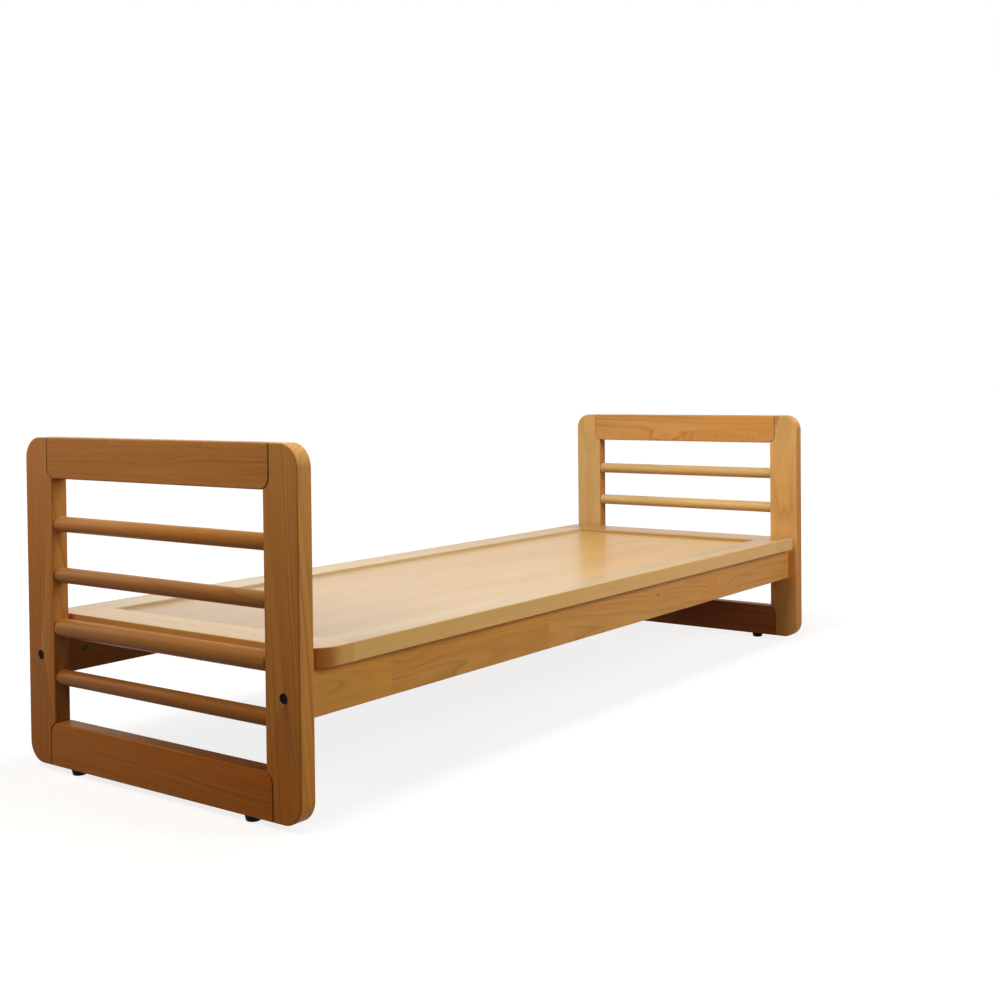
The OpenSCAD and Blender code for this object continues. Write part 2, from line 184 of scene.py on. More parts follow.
# The tints by node, with painted light and shade where the deck shadows a board; a node that isn't listed has
# none
TINTS_AND_PAINTED_LIGHT: dict[str, Tint] = {
    # The left stiles: painted shade, darker and warmer towards the bottom
    "left_front_stile": Tint(((0.96, 0.68, 0.23), (0.97, 0.93, 0.87)), *LEFT_EDGES, 0.84),
    "left_rear_stile": Tint(((0.85, 0.57, 0.20), (0.93, 0.81, 0.69)), *LEFT_EDGES, 0.84),
    "left_top_rail": Tint(
        ((0.87, 0.77, 0.63), (0.86, 0.74, 0.58)), ((0.65, 0.54, 0.40),), LEFT_EDGES[1], 0.8),
    # The left bottom rail's top face: painted shade, darkest at its front
    "left_bottom_rail": Tint(
        ((0.88, 0.55, 0.16), (0.91, 0.66, 0.23)), (), ((0.26, 0.15, 0.05), (0.72, 0.71, 0.66)), 0.92),
    # The rungs' flank and reveal casts paint light and shade on their upper and lower sides
    "left_top_rung": Tint(((0.87, 0.70, 0.43),), ((0.68, 0.66, 0.55),), ((1.16, 0.90, 0.35),)),
    "left_upper_rung": Tint(((0.66, 0.54, 0.40),), ((0.55, 0.53, 0.49),), ((0.92, 0.66, 0.34),)),
    "left_deck_rung": Tint(((0.71, 0.62, 0.46),), ((0.76, 0.53, 0.24),), ((0.56, 0.45, 0.31),)),
    "left_low_rung": Tint(((0.64, 0.50, 0.31),), ((0.82, 0.60, 0.25),), ((0.44, 0.35, 0.21),)),
    "right_front_stile": Tint(((1.47, 1.46, 1.42), (1.07, 1.32, 1.62)), *RIGHT_EDGES, 1.04),
    "right_rear_stile": Tint(((1.16, 1.64, 2.45), (1.11, 1.32, 1.60)), *RIGHT_EDGES, 1.04),
    "right_top_rail": Tint(((1.02, 1.00, 0.92), (1.03, 1.07, 1.10)), (), RIGHT_EDGES[1], 0.96),
    # Painted shade under the deck
    "right_bottom_rail": Tint(((0.70, 0.46, 0.46), (0.62, 0.42, 0.50)), (), RIGHT_EDGES[1], 0.92),
    "right_top_rung": Tint(((1.06, 1.44, 2.10),)),
    "right_upper_rung": Tint(((1.08, 1.50, 2.20),)),
    "right_deck_rung": Tint(((1.00, 1.20, 1.40),)),
    "right_low_rung": Tint(((1.00, 1.10, 1.20),)),
    # Painted shadow of the deck over the rear side rail
    "rear_side_rail": Tint(((0.68, 0.58, 0.60),)),
    "left_rim": Tint(((0.94, 0.93, 1.03),), ((0.96, 0.76, 0.42),), ((0.68, 0.76, 0.90),)),
    "right_rim": Tint(((0.66, 0.48, 0.26),), ((1.00, 0.79, 0.47),), ((0.60, 0.54, 0.42),)),
    "front_rim": Tint(((0.82, 0.84, 1.02), (0.66, 0.54, 0.41)), *RIM_EDGES),
    "rear_rim": Tint(((0.88, 0.97, 1.20), (0.78, 0.65, 0.50)), *RIM_EDGES),
    # The panel's far end: a painted reflection of the far frame, more golden
    "deck_panel": Tint(((0.78, 0.76, 0.81), (0.90, 0.68, 0.28))),
}


@dataclass(frozen=True)
class Surface:
    """A surface as an array of points and a list of faces.

    Attributes:
        rows: A row for each point: its place, its normal, its arris weight, which is 1 in the middle of a
            rounded edge, and its seam weight, which is 1 down in a joint.
        faces: The points of each face, anticlockwise from outside.
    """

    rows: Array
    faces: list[Face]

    def joined(self, other: Surface) -> Surface:
        """This surface and another as one; the other's faces count on from this one's points."""
        moved = [tuple(len(self.rows) + i for i in face) for face in other.faces]
        return Surface(np.vstack([self.rows, other.rows]), self.faces + moved)

    def mirrored(self, axis: Axis) -> Surface:
        """This surface mirrored through the origin along one axis, still facing outwards.

        Args:
            axis: The axis whose coordinate changes sign.

        Returns:
            The mirrored surface; its faces are wound the other way round.
        """
        flip = np.ones(ROW)
        flip[[axis.value, axis.value + 3]] = -1.0
        return Surface(self.rows * flip, [face[::-1] for face in self.faces])

    def laid(self, axis: Axis) -> Surface:
        """This surface carried from local coordinates (a, b, c) into the bed's, with c along an axis.

        Args:
            axis: The axis that c runs along; a and b take the two that follow it.

        Returns:
            The surface; the turn is a cyclic one, so it keeps the right way out.
        """
        order = {Axis.X: [2, 0, 1], Axis.Y: [1, 2, 0], Axis.Z: [0, 1, 2]}[axis]
        return Surface(self.rows[:, [*order, *(k + 3 for k in order), ARRIS, SEAM]], self.faces)

    def outward(self) -> Array:
        """How squarely each point of a board's edges looks away from the bed's middle: 1 out, -1 in.

        The board's faces, across the way in which it is thinnest, count as 0.
        """
        away = np.sign(self.rows[:, :3] - MIDDLE) * self.rows[:, 3:6]
        away[:, np.argmin(np.ptp(self.rows[:, :3], axis=0))] = 0.0
        return np.clip(away.sum(axis=1), -1.0, 1.0)

    def mesh(self, name: str) -> bpy.types.Mesh:
        """Welds the surface and puts it into a mesh with its own normals.

        Points closer than a hair are one point. Each face corner keeps the normal that its point had
        before the weld, so that sharp edges stay sharp and round ones stay round.

        Args:
            name: The mesh's name.

        Returns:
            The mesh, with the arris and seam weights and which way its edges look as point attributes.
        """
        keys = np.round(self.rows[:, :3] / WELD_STEP).astype(np.int64)
        _, first, index = np.unique(keys, axis=0, return_index=True, return_inverse=True)
        index = index.reshape(-1)
        faces: list[Face] = []
        corners: list[int] = []
        for face in self.faces:
            welded = [int(index[i]) for i in face]
            kept = [k for k in range(len(face)) if welded[k] != welded[k - 1]]
            if len({welded[k] for k in kept}) < 3:
                continue
            faces.append(tuple(welded[k] for k in kept))
            corners.extend(face[k] for k in kept)
        mesh = bpy.data.meshes.new(name)
        mesh.from_pydata(self.rows[first, :3].tolist(), [], faces)
        arris, seam = self.rows[:, ARRIS], self.rows[:, SEAM]
        for label, weights in (("arris", arris), ("seam", seam), ("outward", self.outward())):
            attribute = mesh.attributes.new(label, "FLOAT", "POINT")
            attribute.data.foreach_set("value", weights[first].astype(np.float32))
        mesh.shade_smooth()
        mesh.normals_split_custom_set(self.rows[corners, 3:6].tolist())
        return mesh


@dataclass(frozen=True)
class Corner:
    """A corner of a board's outline, and the edge that starts there and runs anticlockwise.

    Attributes:
        a: The corner's first coordinate.
        b: The corner's second coordinate.
        turn: Radius to which the corner is rounded in the outline's plane.
        steps: Number of points round the corner.
        arris: Radius of the arris along the edge.
        groove: Depth of the groove along the edge.
        seam: 1 where the edge lies against another board, which makes a dark joint line.
    """

    a: float
    b: float
    turn: float = EASE
    steps: int = 4
    arris: float = 0.003
    groove: float = 0.0
    seam: float = 0.0


class Outline:
    """A closed outline of corners, which can be drawn again at any inset from its edges."""

    def __init__(self, corners: list[Corner]) -> None:
        """Works out each edge's normal and each corner's turn.

        Args:
            corners: The corners, anticlockwise.
        """
        self.place = np.array([[c.a, c.b] for c in corners])
        self.turn = np.array([c.turn for c in corners])
        self.arris = np.array([c.arris for c in corners])
        self.groove = np.array([c.groove for c in corners])
        self.seam = np.array([c.seam for c in corners])
        steps = np.array([c.steps for c in corners])
        along = np.roll(self.place, -1, axis=0) - self.place
        along /= np.linalg.norm(along, axis=1, keepdims=True)
        self.out = np.column_stack([along[:, 1], -along[:, 0]])
        self.corner = np.repeat(np.arange(len(corners)), steps)
        step = np.arange(len(self.corner)) - np.repeat(np.cumsum(steps) - steps, steps)
        self.share = np.where(steps[self.corner] > 1, step / np.maximum(steps[self.corner] - 1, 1), 0.5)

    def between(self, edge_values: Array) -> Array:
        """Spreads a value of each edge over the points, blended round each corner."""
        before = edge_values[self.corner - 1]
        return before + (edge_values[self.corner] - before) * self.share

    def ring(self, insets: Array) -> tuple[Array, Array]:
        """Draws the outline with each edge moved inwards.

        Each corner is where its two moved edges cross. It is then rounded: the centre lies back along
        the corner's mitre by the radius left, and the points turn about it from one edge's normal to
        the other's. A hollow corner's radius grows with the inset, and a full corner's shrinks.

        Args:
            insets: The distance by which each edge moves inwards.

        Returns:
            The points, and their outward normals.
        """
        before, after = self.out[self.corner - 1], self.out[self.corner]
        d0, d1 = insets[self.corner - 1][:, None], insets[self.corner][:, None]
        cross = (before[:, 0] * after[:, 1] - before[:, 1] * after[:, 0])[:, None]
        dot = np.sum(before * after, axis=1, keepdims=True)
        straight = np.abs(cross) < 1e-6
        safe = np.where(straight, 1.0, cross)
        move = np.column_stack([
            (d1 * before[:, 1:2] - d0 * after[:, 1:2]) / safe,
            (d0 * after[:, 0:1] - d1 * before[:, 0:1]) / safe,
        ])
        flat = -before * (d0 + (d1 - d0) * self.share[:, None])
        point = self.place[self.corner] + np.where(straight, flat, move)
        mean = (d0 + d1) / 2
        turn = self.turn[self.corner][:, None]
        full = np.maximum(turn - mean, np.minimum(turn, TINY))
        radius = np.where(turn == 0, 0.0, np.where(cross > 0, full, -turn - mean))
        angle = np.arctan2(cross, dot) * self.share[:, None]
        normal = np.column_stack([
            before[:, 0:1] * np.cos(angle) - before[:, 1:2] * np.sin(angle),
            before[:, 0:1] * np.sin(angle) + before[:, 1:2] * np.cos(angle),
        ])
        mitre = (before + after) / (1 + dot)
        rounded = point - radius * mitre + radius * normal
        return np.where(straight, point, rounded), normal


@dataclass(frozen=True)
class Bore:
    """A round hole in a board's face.

    Attributes:
        a: First coordinate of its axis.
        b: Second coordinate of its axis.
        profile: Pairs of depth and radius from the face inwards; the last radius is closed off.
        far_face: Whether it opens in the face at the lower end of the board's thickness.
    """

    a: float
    b: float
    profile: tuple[Pair, ...]
    far_face: bool = False


def circle(sides: int) -> Array:
    """Points evenly spaced round a circle of radius 1, anticlockwise."""
    angle = np.arange(sides) * 2 * math.pi / sides
    return np.column_stack([np.cos(angle), np.sin(angle)])


def lathe(profile: Array, a: float, b: float, sides: int = 48) -> Surface:
    """Turns a profile about a line along c.

    The point at angle t is (a + r cos t, b + r sin t, c). The surface faces to the left of the
    profile's travel. Where the profile bends by less than the smooth bend the two normals are averaged,
    and elsewhere each stretch keeps its own, so that the bend stays sharp.

    Args:
        profile: Rows of (c, radius).
        a: First coordinate of the line.
        b: Second coordinate of the line.
        sides: Number of points round the line.

    Returns:
        The turned surface, in local coordinates.
    """
    step = np.diff(profile, axis=0)
    step /= np.linalg.norm(step, axis=1, keepdims=True)
    out = np.column_stack([-step[:, 1], step[:, 0]])
    smooth = np.sum(out[:-1] * out[1:], axis=1) > math.cos(math.radians(SMOOTH_BEND))
    joint = out[:-1] + out[1:]
    joint /= np.maximum(np.linalg.norm(joint, axis=1, keepdims=True), 1e-9)
    start, end = out.copy(), out.copy()
    start[1:][smooth] = joint[smooth]
    end[:-1][smooth] = joint[smooth]
    rows = np.stack([profile[:-1], profile[1:]], axis=1).reshape(-1, 2)
    normals = np.stack([start, end], axis=1).reshape(-1, 2)
    ring = circle(sides)[None]
    flat, away = rows[:, None, 1:2] * ring + np.array([a, b]), normals[:, None, 1:2] * ring
    level, rise = (np.broadcast_to(values[:, None, 0:1], (len(rows), sides, 1)) for values in (rows, normals))
    table = np.concatenate([flat, level, away, rise, np.zeros((len(rows), sides, 2))], axis=2)
    faces: list[Face] = []
    for low in range(0, len(rows) * sides, 2 * sides):
        high = low + sides
        faces.extend((low + j, low + (j + 1) % sides, high + (j + 1) % sides, high + j) for j in range(sides))
    return Surface(table.reshape(-1, ROW), faces)


def cap(ring: Array, rims: list[Array], up: bool) -> list[Face]:
    """Fills a flat face, leaving round holes open.

    Args:
        ring: The face's outline, anticlockwise.
        rims: The holes' outlines, whose points are numbered after the outline's own.
        up: Whether the face looks up the c axis.

    Returns:
        One many-sided face without holes, or triangles where there are some.
    """
    if not rims:
        whole = tuple(range(len(ring)))
        return [whole if up else whole[::-1]]
    flat = np.vstack([ring, *rims])
    faces: list[Face] = []
    for triangle in tessellate_polygon([[(a, b, 0.0) for a, b in loop] for loop in (ring, *rims)]):
        p, q, r = flat[list(triangle)]
        anticlockwise = (q[0] - p[0]) * (r[1] - p[1]) - (q[1] - p[1]) * (r[0] - p[0]) > 0
        faces.append(tuple(triangle) if anticlockwise == up else tuple(triangle)[::-1])
    return faces


def board(
    outline: Outline,
    low: float,
    high: float,
    axis: Axis,
    bores: tuple[Bore, ...] = (),
    groove: Pair | None = None,
    arris_steps: int = 6,
    sides: int = 40,
) -> Surface:
    """A board: an outline with thickness, round arrises, bores in its faces and a groove in its edge.

    Its side is a grid over the outline and an angle t. From t = 0 on the face to a quarter turn on the
    edge, a point lies in from the edge by r (1 - sin t) and down from the face by r (1 - cos t), where
    r is the arris of the nearest edge. The groove's walls are further rings at its depth.

    Args:
        outline: The board's outline, seen from the high face.
        low: The low face's coordinate along the thickness.
        high: The high face's coordinate along the thickness.
        axis: The axis of the thickness.
        bores: Round holes in either face.
        groove: Lower and upper coordinate of the groove in the edges that have one.
        arris_steps: Number of steps round an arris.
        sides: Number of points round a bore.

    Returns:
        The closed surface, in the bed's coordinates.
    """
    quarter = np.linspace(0, math.pi / 2, arris_steps + 1)
    radius = outline.between(outline.arris)
    joint = outline.between(outline.seam)
    count = len(radius)
    rings: list[Array] = []

    def add(insets: Array, height: Array, flat: float, rise: float, weight: float = 0.0) -> None:
        """Adds one ring at an inset and a height, with its normals, arris weight and seam weight."""
        point, out = outline.ring(insets)
        rise_and_weight = np.full((count, 2), (rise, weight))
        rings.append(np.column_stack([point, height, out * flat, rise_and_weight, joint * flat]))

    def round_over(face: float, up: int, angles: Array) -> None:
        """Adds the rings of an arris, between a face that looks up or down and the edge."""
        for t in angles:
            height = face - up * radius * (1 - math.cos(t))
            add(outline.arris * (1 - math.sin(t)), height, math.sin(t), up * math.cos(t), math.sin(2 * t))

    round_over(high, 1, quarter)
    breaks: set[int] = set()
    if groove is not None:
        shut, deep = outline.groove * 0, outline.groove
        bottom, top = (np.full(count, level) for level in groove)
        walls = (
            ((shut, top, 1, 0),),
            ((shut, top, 0, -1), (deep, top, 0, -1)),
            ((deep, top, 1, 0), (deep, bottom, 1, 0)),
            ((deep, bottom, 0, 1), (shut, bottom, 0, 1)),
            ((shut, bottom, 1, 0),),
        )
        for number, wall in enumerate(walls):
            if number > 0:
                breaks.add(len(rings) - 1)
            for ring in wall:
                add(*ring)
    round_over(low, -1, quarter[::-1])
    faces: list[Face] = []
    for k in range(len(rings) - 1):
        if k not in breaks:
            a, b = k * count, (k + 1) * count
            faces.extend((a + j, b + j, b + (j + 1) % count, a + (j + 1) % count) for j in range(count))
    whole = Surface(np.vstack(rings), faces)

    for up, face, ring in ((1, high, rings[0][:, :2]), (-1, low, rings[-1][:, :2])):
        rims: list[Array] = []
        for bore in bores:
            if bore.far_face == (up < 0):
                travel = np.array([(face - up * depth, r) for depth, r in bore.profile])
                travel = np.vstack([travel, [travel[-1, 0], 0.0]])
                whole = whole.joined(lathe(travel[::up], bore.a, bore.b, sides))
                rims.append(np.array([bore.a, bore.b]) + bore.profile[0][1] * circle(sides))
        flat = np.vstack([ring, *rims])
        rest = np.tile([face, 0.0, 0.0, up, 0.0, 0.0], (len(flat), 1))
        whole = whole.joined(Surface(np.column_stack([flat, rest]), cap(ring, rims, up > 0)))
    return whole.laid(axis)


def turned_piece(profile: list[Pair], axis: Axis, centre: Pair, sides: int = 64) -> Surface:
    """A piece turned about an axis line, whose centre is in the two coordinates that follow the axis."""
    return lathe(np.array(profile), *centre, sides).laid(axis)


def rounded(along: float, radius: float, toward: float, arris: float, steps: int = 5) -> list[Pair]:
    """The quarter circle that rounds a turned piece's end, from the pole's side out to its full radius.

    A point at angle t lies in from the end by r (1 - sin t) and in from the side by r (1 - cos t).

    Args:
        along: The end's place along the axis.
        radius: The piece's full radius.
        toward: The direction from the end into the piece, as a sign.
        arris: The quarter circle's radius.
        steps: Number of steps.

    Returns:
        Pairs of place and radius.
    """
    angle = np.linspace(0, math.pi / 2, steps + 1)
    return [(along + toward * arris * (1 - math.cos(t)), radius - arris * (1 - math.sin(t))) for t in angle]


def oblong(low: Pair, high: Pair, arris: float) -> Outline:
    """A rectangular outline from its low corner to its high one, with its corners eased."""
    places = (low, (high[0], low[1]), high, (low[0], high[1]))
    return Outline([Corner(a, b, arris=arris) for a, b in places])


@dataclass(frozen=True)
class Grain:
    """How a board was cut from the tree: which way its grain runs and where the tree's heart lies.

    Attributes:
        along: The axis that the grain runs along.
        heart: Where the heart lies in the two other coordinates, in their order.
        lean: How far the heart's line leans from the board in those coordinates, per metre.
        shift: A shift along the grain, which gives each board its own figure.
    """

    along: Axis
    heart: Pair
    lean: Pair = (0.0, 0.0)
    shift: float = 0.0

    def at(self, *place: float) -> Point:
        """One place of the bed in this board's grain coordinates."""
        along, first, second = self.coordinates(np.array([place]))[0]
        return (float(along), float(first), float(second))

    def coordinates(self, points: Array) -> Array:
        """The points measured along the grain and across it from the heart.

        Args:
            points: Rows of X, Y and Z.

        Returns:
            Rows of (along the grain, across, across); each is linear in the place.
        """
        others = [k for k in range(3) if k != self.along.value]
        along = points[:, self.along.value]
        across = [points[:, k] - self.heart[i] + self.lean[i] * along for i, k in enumerate(others)]
        return np.column_stack([along + self.shift, *across])


class Bench:
    """The node tree of a material or of the world, with short ways to add the nodes that it needs."""

    def __init__(self, owner: bpy.types.Material | bpy.types.World) -> None:
        """Gives the owner an empty tree.

        Args:
            owner: The material or world.
        """
        owner.use_nodes = True
        self.owner = owner
        self.tree = owner.node_tree
        self.tree.nodes.clear()

    def add(self, kind: str, values: dict[str | int, object] | None = None,
            **settings: object) -> bpy.types.Node:
        """Adds a node.

        Args:
            kind: The node's type, without the words ShaderNode.
            values: Input name or number to a number, a colour or another node's output.
            **settings: The node's own settings.

        Returns:
            The node.
        """
        node = self.tree.nodes.new("ShaderNode" + kind)
        for key, value in settings.items():
            setattr(node, key, value)
        for key, value in (values or {}).items():
            socket = node.inputs[key]
            if isinstance(value, Socket):
                self.tree.links.new(value, socket)
            elif isinstance(value, tuple) and socket.type == "RGBA":
                socket.default_value = (*value, 1.0)
            else:
                socket.default_value = value
        return node

    def end(self, kind: str, values: dict[str | int, object]) -> bpy.types.Material | bpy.types.World:
        """Ends the tree in a shader.

        Args:
            kind: The shader's type.
            values: The shader's inputs.

        Returns:
            The owner, now complete.
        """
        output = "OutputWorld" if isinstance(self.owner, bpy.types.World) else "OutputMaterial"
        self.add(output, {"Surface": self.add(kind, values).outputs[0]})
        return self.owner

    def read(self, name: str, output: str = "Fac") -> Socket:
        """An attribute of the piece that wears the material."""
        return self.add("Attribute", attribute_name=name).outputs[output]

    def math(self, operation: str, *values: object) -> Socket:
        """A Math node on up to three values."""
        return self.add("Math", dict(enumerate(values)), operation=operation).outputs[0]

    def plus(self, first: object, *others: object) -> Socket:
        """The sum of numbers, added in their order."""
        for other in others:
            first = self.math("ADD", first, other)
        return first

    def times(self, first: object, *others: object) -> Socket:
        """The product of numbers, multiplied in their order."""
        for other in others:
            first = self.math("MULTIPLY", first, other)
        return first

    def vector(self, operation: str, *values: object) -> Socket:
        """A Vector Math node; a length comes out as a number."""
        node = self.add("VectorMath", dict(enumerate(values)), operation=operation)
        return node.outputs["Value" if operation == "LENGTH" else "Vector"]

    def scaled(self, vector: object, by: Point) -> Socket:
        """A vector with each of its parts multiplied by its own number."""
        return self.vector("MULTIPLY", vector, by)

    def joined(self, **parts: object) -> Socket:
        """A vector from its parts X, Y and Z; a part that isn't given is 0."""
        return self.add("CombineXYZ", parts).outputs[0]

    def part(self, vector: object, name: str) -> Socket:
        """The part X, Y or Z of a vector."""
        return self.add("SeparateXYZ", {"Vector": vector}).outputs[name]

    def object_place(self) -> Socket:
        """The place in the object's own coordinates."""
        return self.add("TexCoord").outputs["Object"]

    def noise(self, place: object, scale: Point, detail: float = 2.0, rough: float = 0.5,
              shift: float = 0.0, output: str = "Fac") -> Socket:
        """A noise at a place whose parts are scaled first; a shift along Z makes it a noise of its own."""
        values = {"Vector": self.vector("MULTIPLY_ADD", place, scale, (0.0, 0.0, shift)), "Scale": 1.0}
        return self.add("TexNoise", {**values, "Detail": detail, "Roughness": rough}).outputs[output]

    def centred(self, colour: object, size: Point) -> Socket:
        """A colour of about a half carried to about zero, with each part times its own size."""
        return self.scaled(self.vector("SUBTRACT", colour, (0.5, 0.5, 0.5)), size)

    def reaches(self, place: object, at: Point, reach: Point) -> Socket:
        """The distance of a place from a point, counted in reaches."""
        away = self.vector("SUBTRACT", place, at)
        return self.vector("LENGTH", self.scaled(away, tuple(1 / length for length in reach)))

    def spread(self, value: object, low: float, high: float, to_low: float = 0.0,
               to_high: float = 1.0) -> Socket:
        """Carries a value from one range to another, and holds it there."""
        ends = {"From Min": low, "From Max": high, "To Min": to_low, "To Max": to_high}
        return self.add("MapRange", {"Value": value, **ends}).outputs[0]

    def ramp(self, value: object, stops: tuple[Pair, ...]) -> Socket:
        """A curve of grey levels through the given stops.

        Args:
            value: The number at which the curve is read.
            stops: Pairs of place and level, from 0 to 1.

        Returns:
            The level there.
        """
        node = self.add("ValToRGB", {"Fac": value})
        elements = node.color_ramp.elements
        while len(elements) < len(stops):
            elements.new(0.5)
        for element, (place, level) in zip(elements, stops):
            element.position = place
            element.color = (level, level, level, 1.0)
        return node.outputs["Color"]

    def mix(self, share: object, first: object, second: object, blend: str = "MIX") -> Socket:
        """Mixes two colours; the sockets of a colour mix are its first, seventh and eighth."""
        values = {0: share, 6: first, 7: second}
        return self.add("Mix", values, data_type="RGBA", blend_type=blend, clamp_factor=True).outputs[2]

    def tinted(self, colour: object, by: object) -> Socket:
        """A colour multiplied by another."""
        return self.mix(1.0, colour, by, "MULTIPLY")

    def bump(self, strength: float, depth: float, height: object) -> Socket:
        """A bump's normal."""
        return self.add("Bump", {"Strength": strength, "Distance": depth, "Height": height}).outputs[0]


@dataclass(frozen=True)
class Swirl:
    """A place where the grain bends round a knot.

    Attributes:
        at: Its place: along the grain, and across it from the heart, twice.
        reach: How far the bend reaches along the grain and across it.
        push: How far it pushes the year rings outwards.
        curl: Length of the curls into which it ripples; 0 leaves one smooth bend.
        lag: How far the curls' crests lag, per square metre of the distance across the grain.
    """

    at: Point
    reach: Pair
    push: float
    curl: float = 0.0
    lag: float = 26.0

    def bend(self, bench: Bench, grain: Socket) -> Socket:
        """How far the rings are pushed at each place.

        It is a bell over the reach, exp(-r squared). With curls it is also a sine along the grain whose
        crests lag with the square of the distance across it, which makes a row of nested arcs.

        Args:
            bench: The material's nodes.
            grain: The board's grain coordinates.

        Returns:
            The push as a length.
        """
        along, across = self.reach
        far = bench.reaches(grain, self.at, (along, across, across))
        bell = bench.math("EXPONENT", bench.times(far, far, -1.0))
        if self.curl > 0:
            away = bench.vector("SUBTRACT", grain, self.at)
            side = bench.part(away, "Z")
            turns = bench.times(
                bench.plus(bench.part(away, "X"), bench.times(side, side, self.lag)), 2 * math.pi / self.curl)
            bell = bench.times(bell, bench.math("SINE", turns))
        return bench.times(bell, self.push)


@dataclass(frozen=True)
class Mark:
    """A spot of another colour: a knot's eye, a nick, or painted shade and reflection on a corner.

    Attributes:
        at: Its place, as a swirl's.
        reach: Half its size along the grain and across it, twice.
        colour: Its colour.
        soft: The share of its reach over which it fades.
        edges: Whether it keeps to the board's outward edges.
        cover: How much of the wood it hides in its middle.
        middle: The share of its reach at which it is half faded.
    """

    at: Point
    reach: Point
    colour: Colour
    soft: float = 0.8
    edges: bool = False
    cover: float = 0.95
    middle: float = 0.9

    def paint(self, bench: Bench, colour: Socket, grain: Socket) -> Socket:
        """The wood's colour with the mark on it.

        Args:
            bench: The material's nodes.
            colour: The colour without the mark.
            grain: The board's grain coordinates.

        Returns:
            The colour with it.
        """
        far = bench.reaches(grain, self.at, self.reach)
        share = bench.spread(far, self.middle - self.soft / 2, self.middle + self.soft / 2, self.cover, 0.0)
        if self.edges:
            share = bench.times(share, bench.spread(bench.read("outward"), 0.5, 1.0))
        return bench.mix(share, colour, self.colour)


# Tone through one year ring, from its spring growth on
RING_TONE = ((0.0, 0.0), (0.4, 0.08), (0.7, 0.4), (0.87, 1.0), (1.0, 0.0))
# Noise scales along the grain and across it: the rings' drift and ripple, fibres, and a broad tone
DRIFT, RIPPLE = (1.5, 8.0, 8.0), (9.0, 60.0, 60.0)
FIBRE, BROAD = (40.0, 1600.0, 1600.0), (1.1, 13.0, 13.0)
# Noise scales along the grain and by ring number: ring strength, streaks, hairlines and warmth
STRENGTH, STREAK, HAIR, WARMTH = (1.6, 0.8, 1.0), (4.0, 1.7, 1.0), (11.0, 9.0, 1.0), (1.9, 0.45, 1.0)
# The part of a noise that counts, low and high, and for the first three what it is carried to
STRENGTH_SPAN, BROAD_SPAN = (0.38, 0.68, 0.12, 1.0), (0.3, 0.7, 0.93, 1.05)
FIBRE_SPAN, WARMTH_SPAN = (0.3, 0.7, 0.96, 1.03), (0.32, 0.68)
# The same for streaks and hairlines, and how deep they are at full strength
STREAK_SPAN, STREAK_DEPTH, HAIR_SPAN, HAIR_DEPTH = (0.3, 0.75), (-0.12, 0.30), (0.5, 0.8), 0.22
# How far the ripple moves the rings, and by how many rings their slow noise makes them unequal
RIPPLE_SIZE, UNEVEN = 0.0024, 2.2
# Casts of the wood's warm and cool drifts
WARM, COOL = (1.05, 0.96, 0.86), (0.96, 1.02, 1.06)
# A joint line's colour, and how much of the wood it hides
JOINT_LINE, JOINT_COVER = paint(44, 15, 3), 0.94
# How far the figure sinks and the fibres rise in the bump, and how far the streaks spread the roughness
SINK, RISE, ROUGH_SPREAD = -0.35, 0.6, 0.1
# How far the figure of joined lengths jumps, and how steeply their grain slopes, end to end
JUMP, SLOPE = (3.0, 0.02, 0.05), 0.10


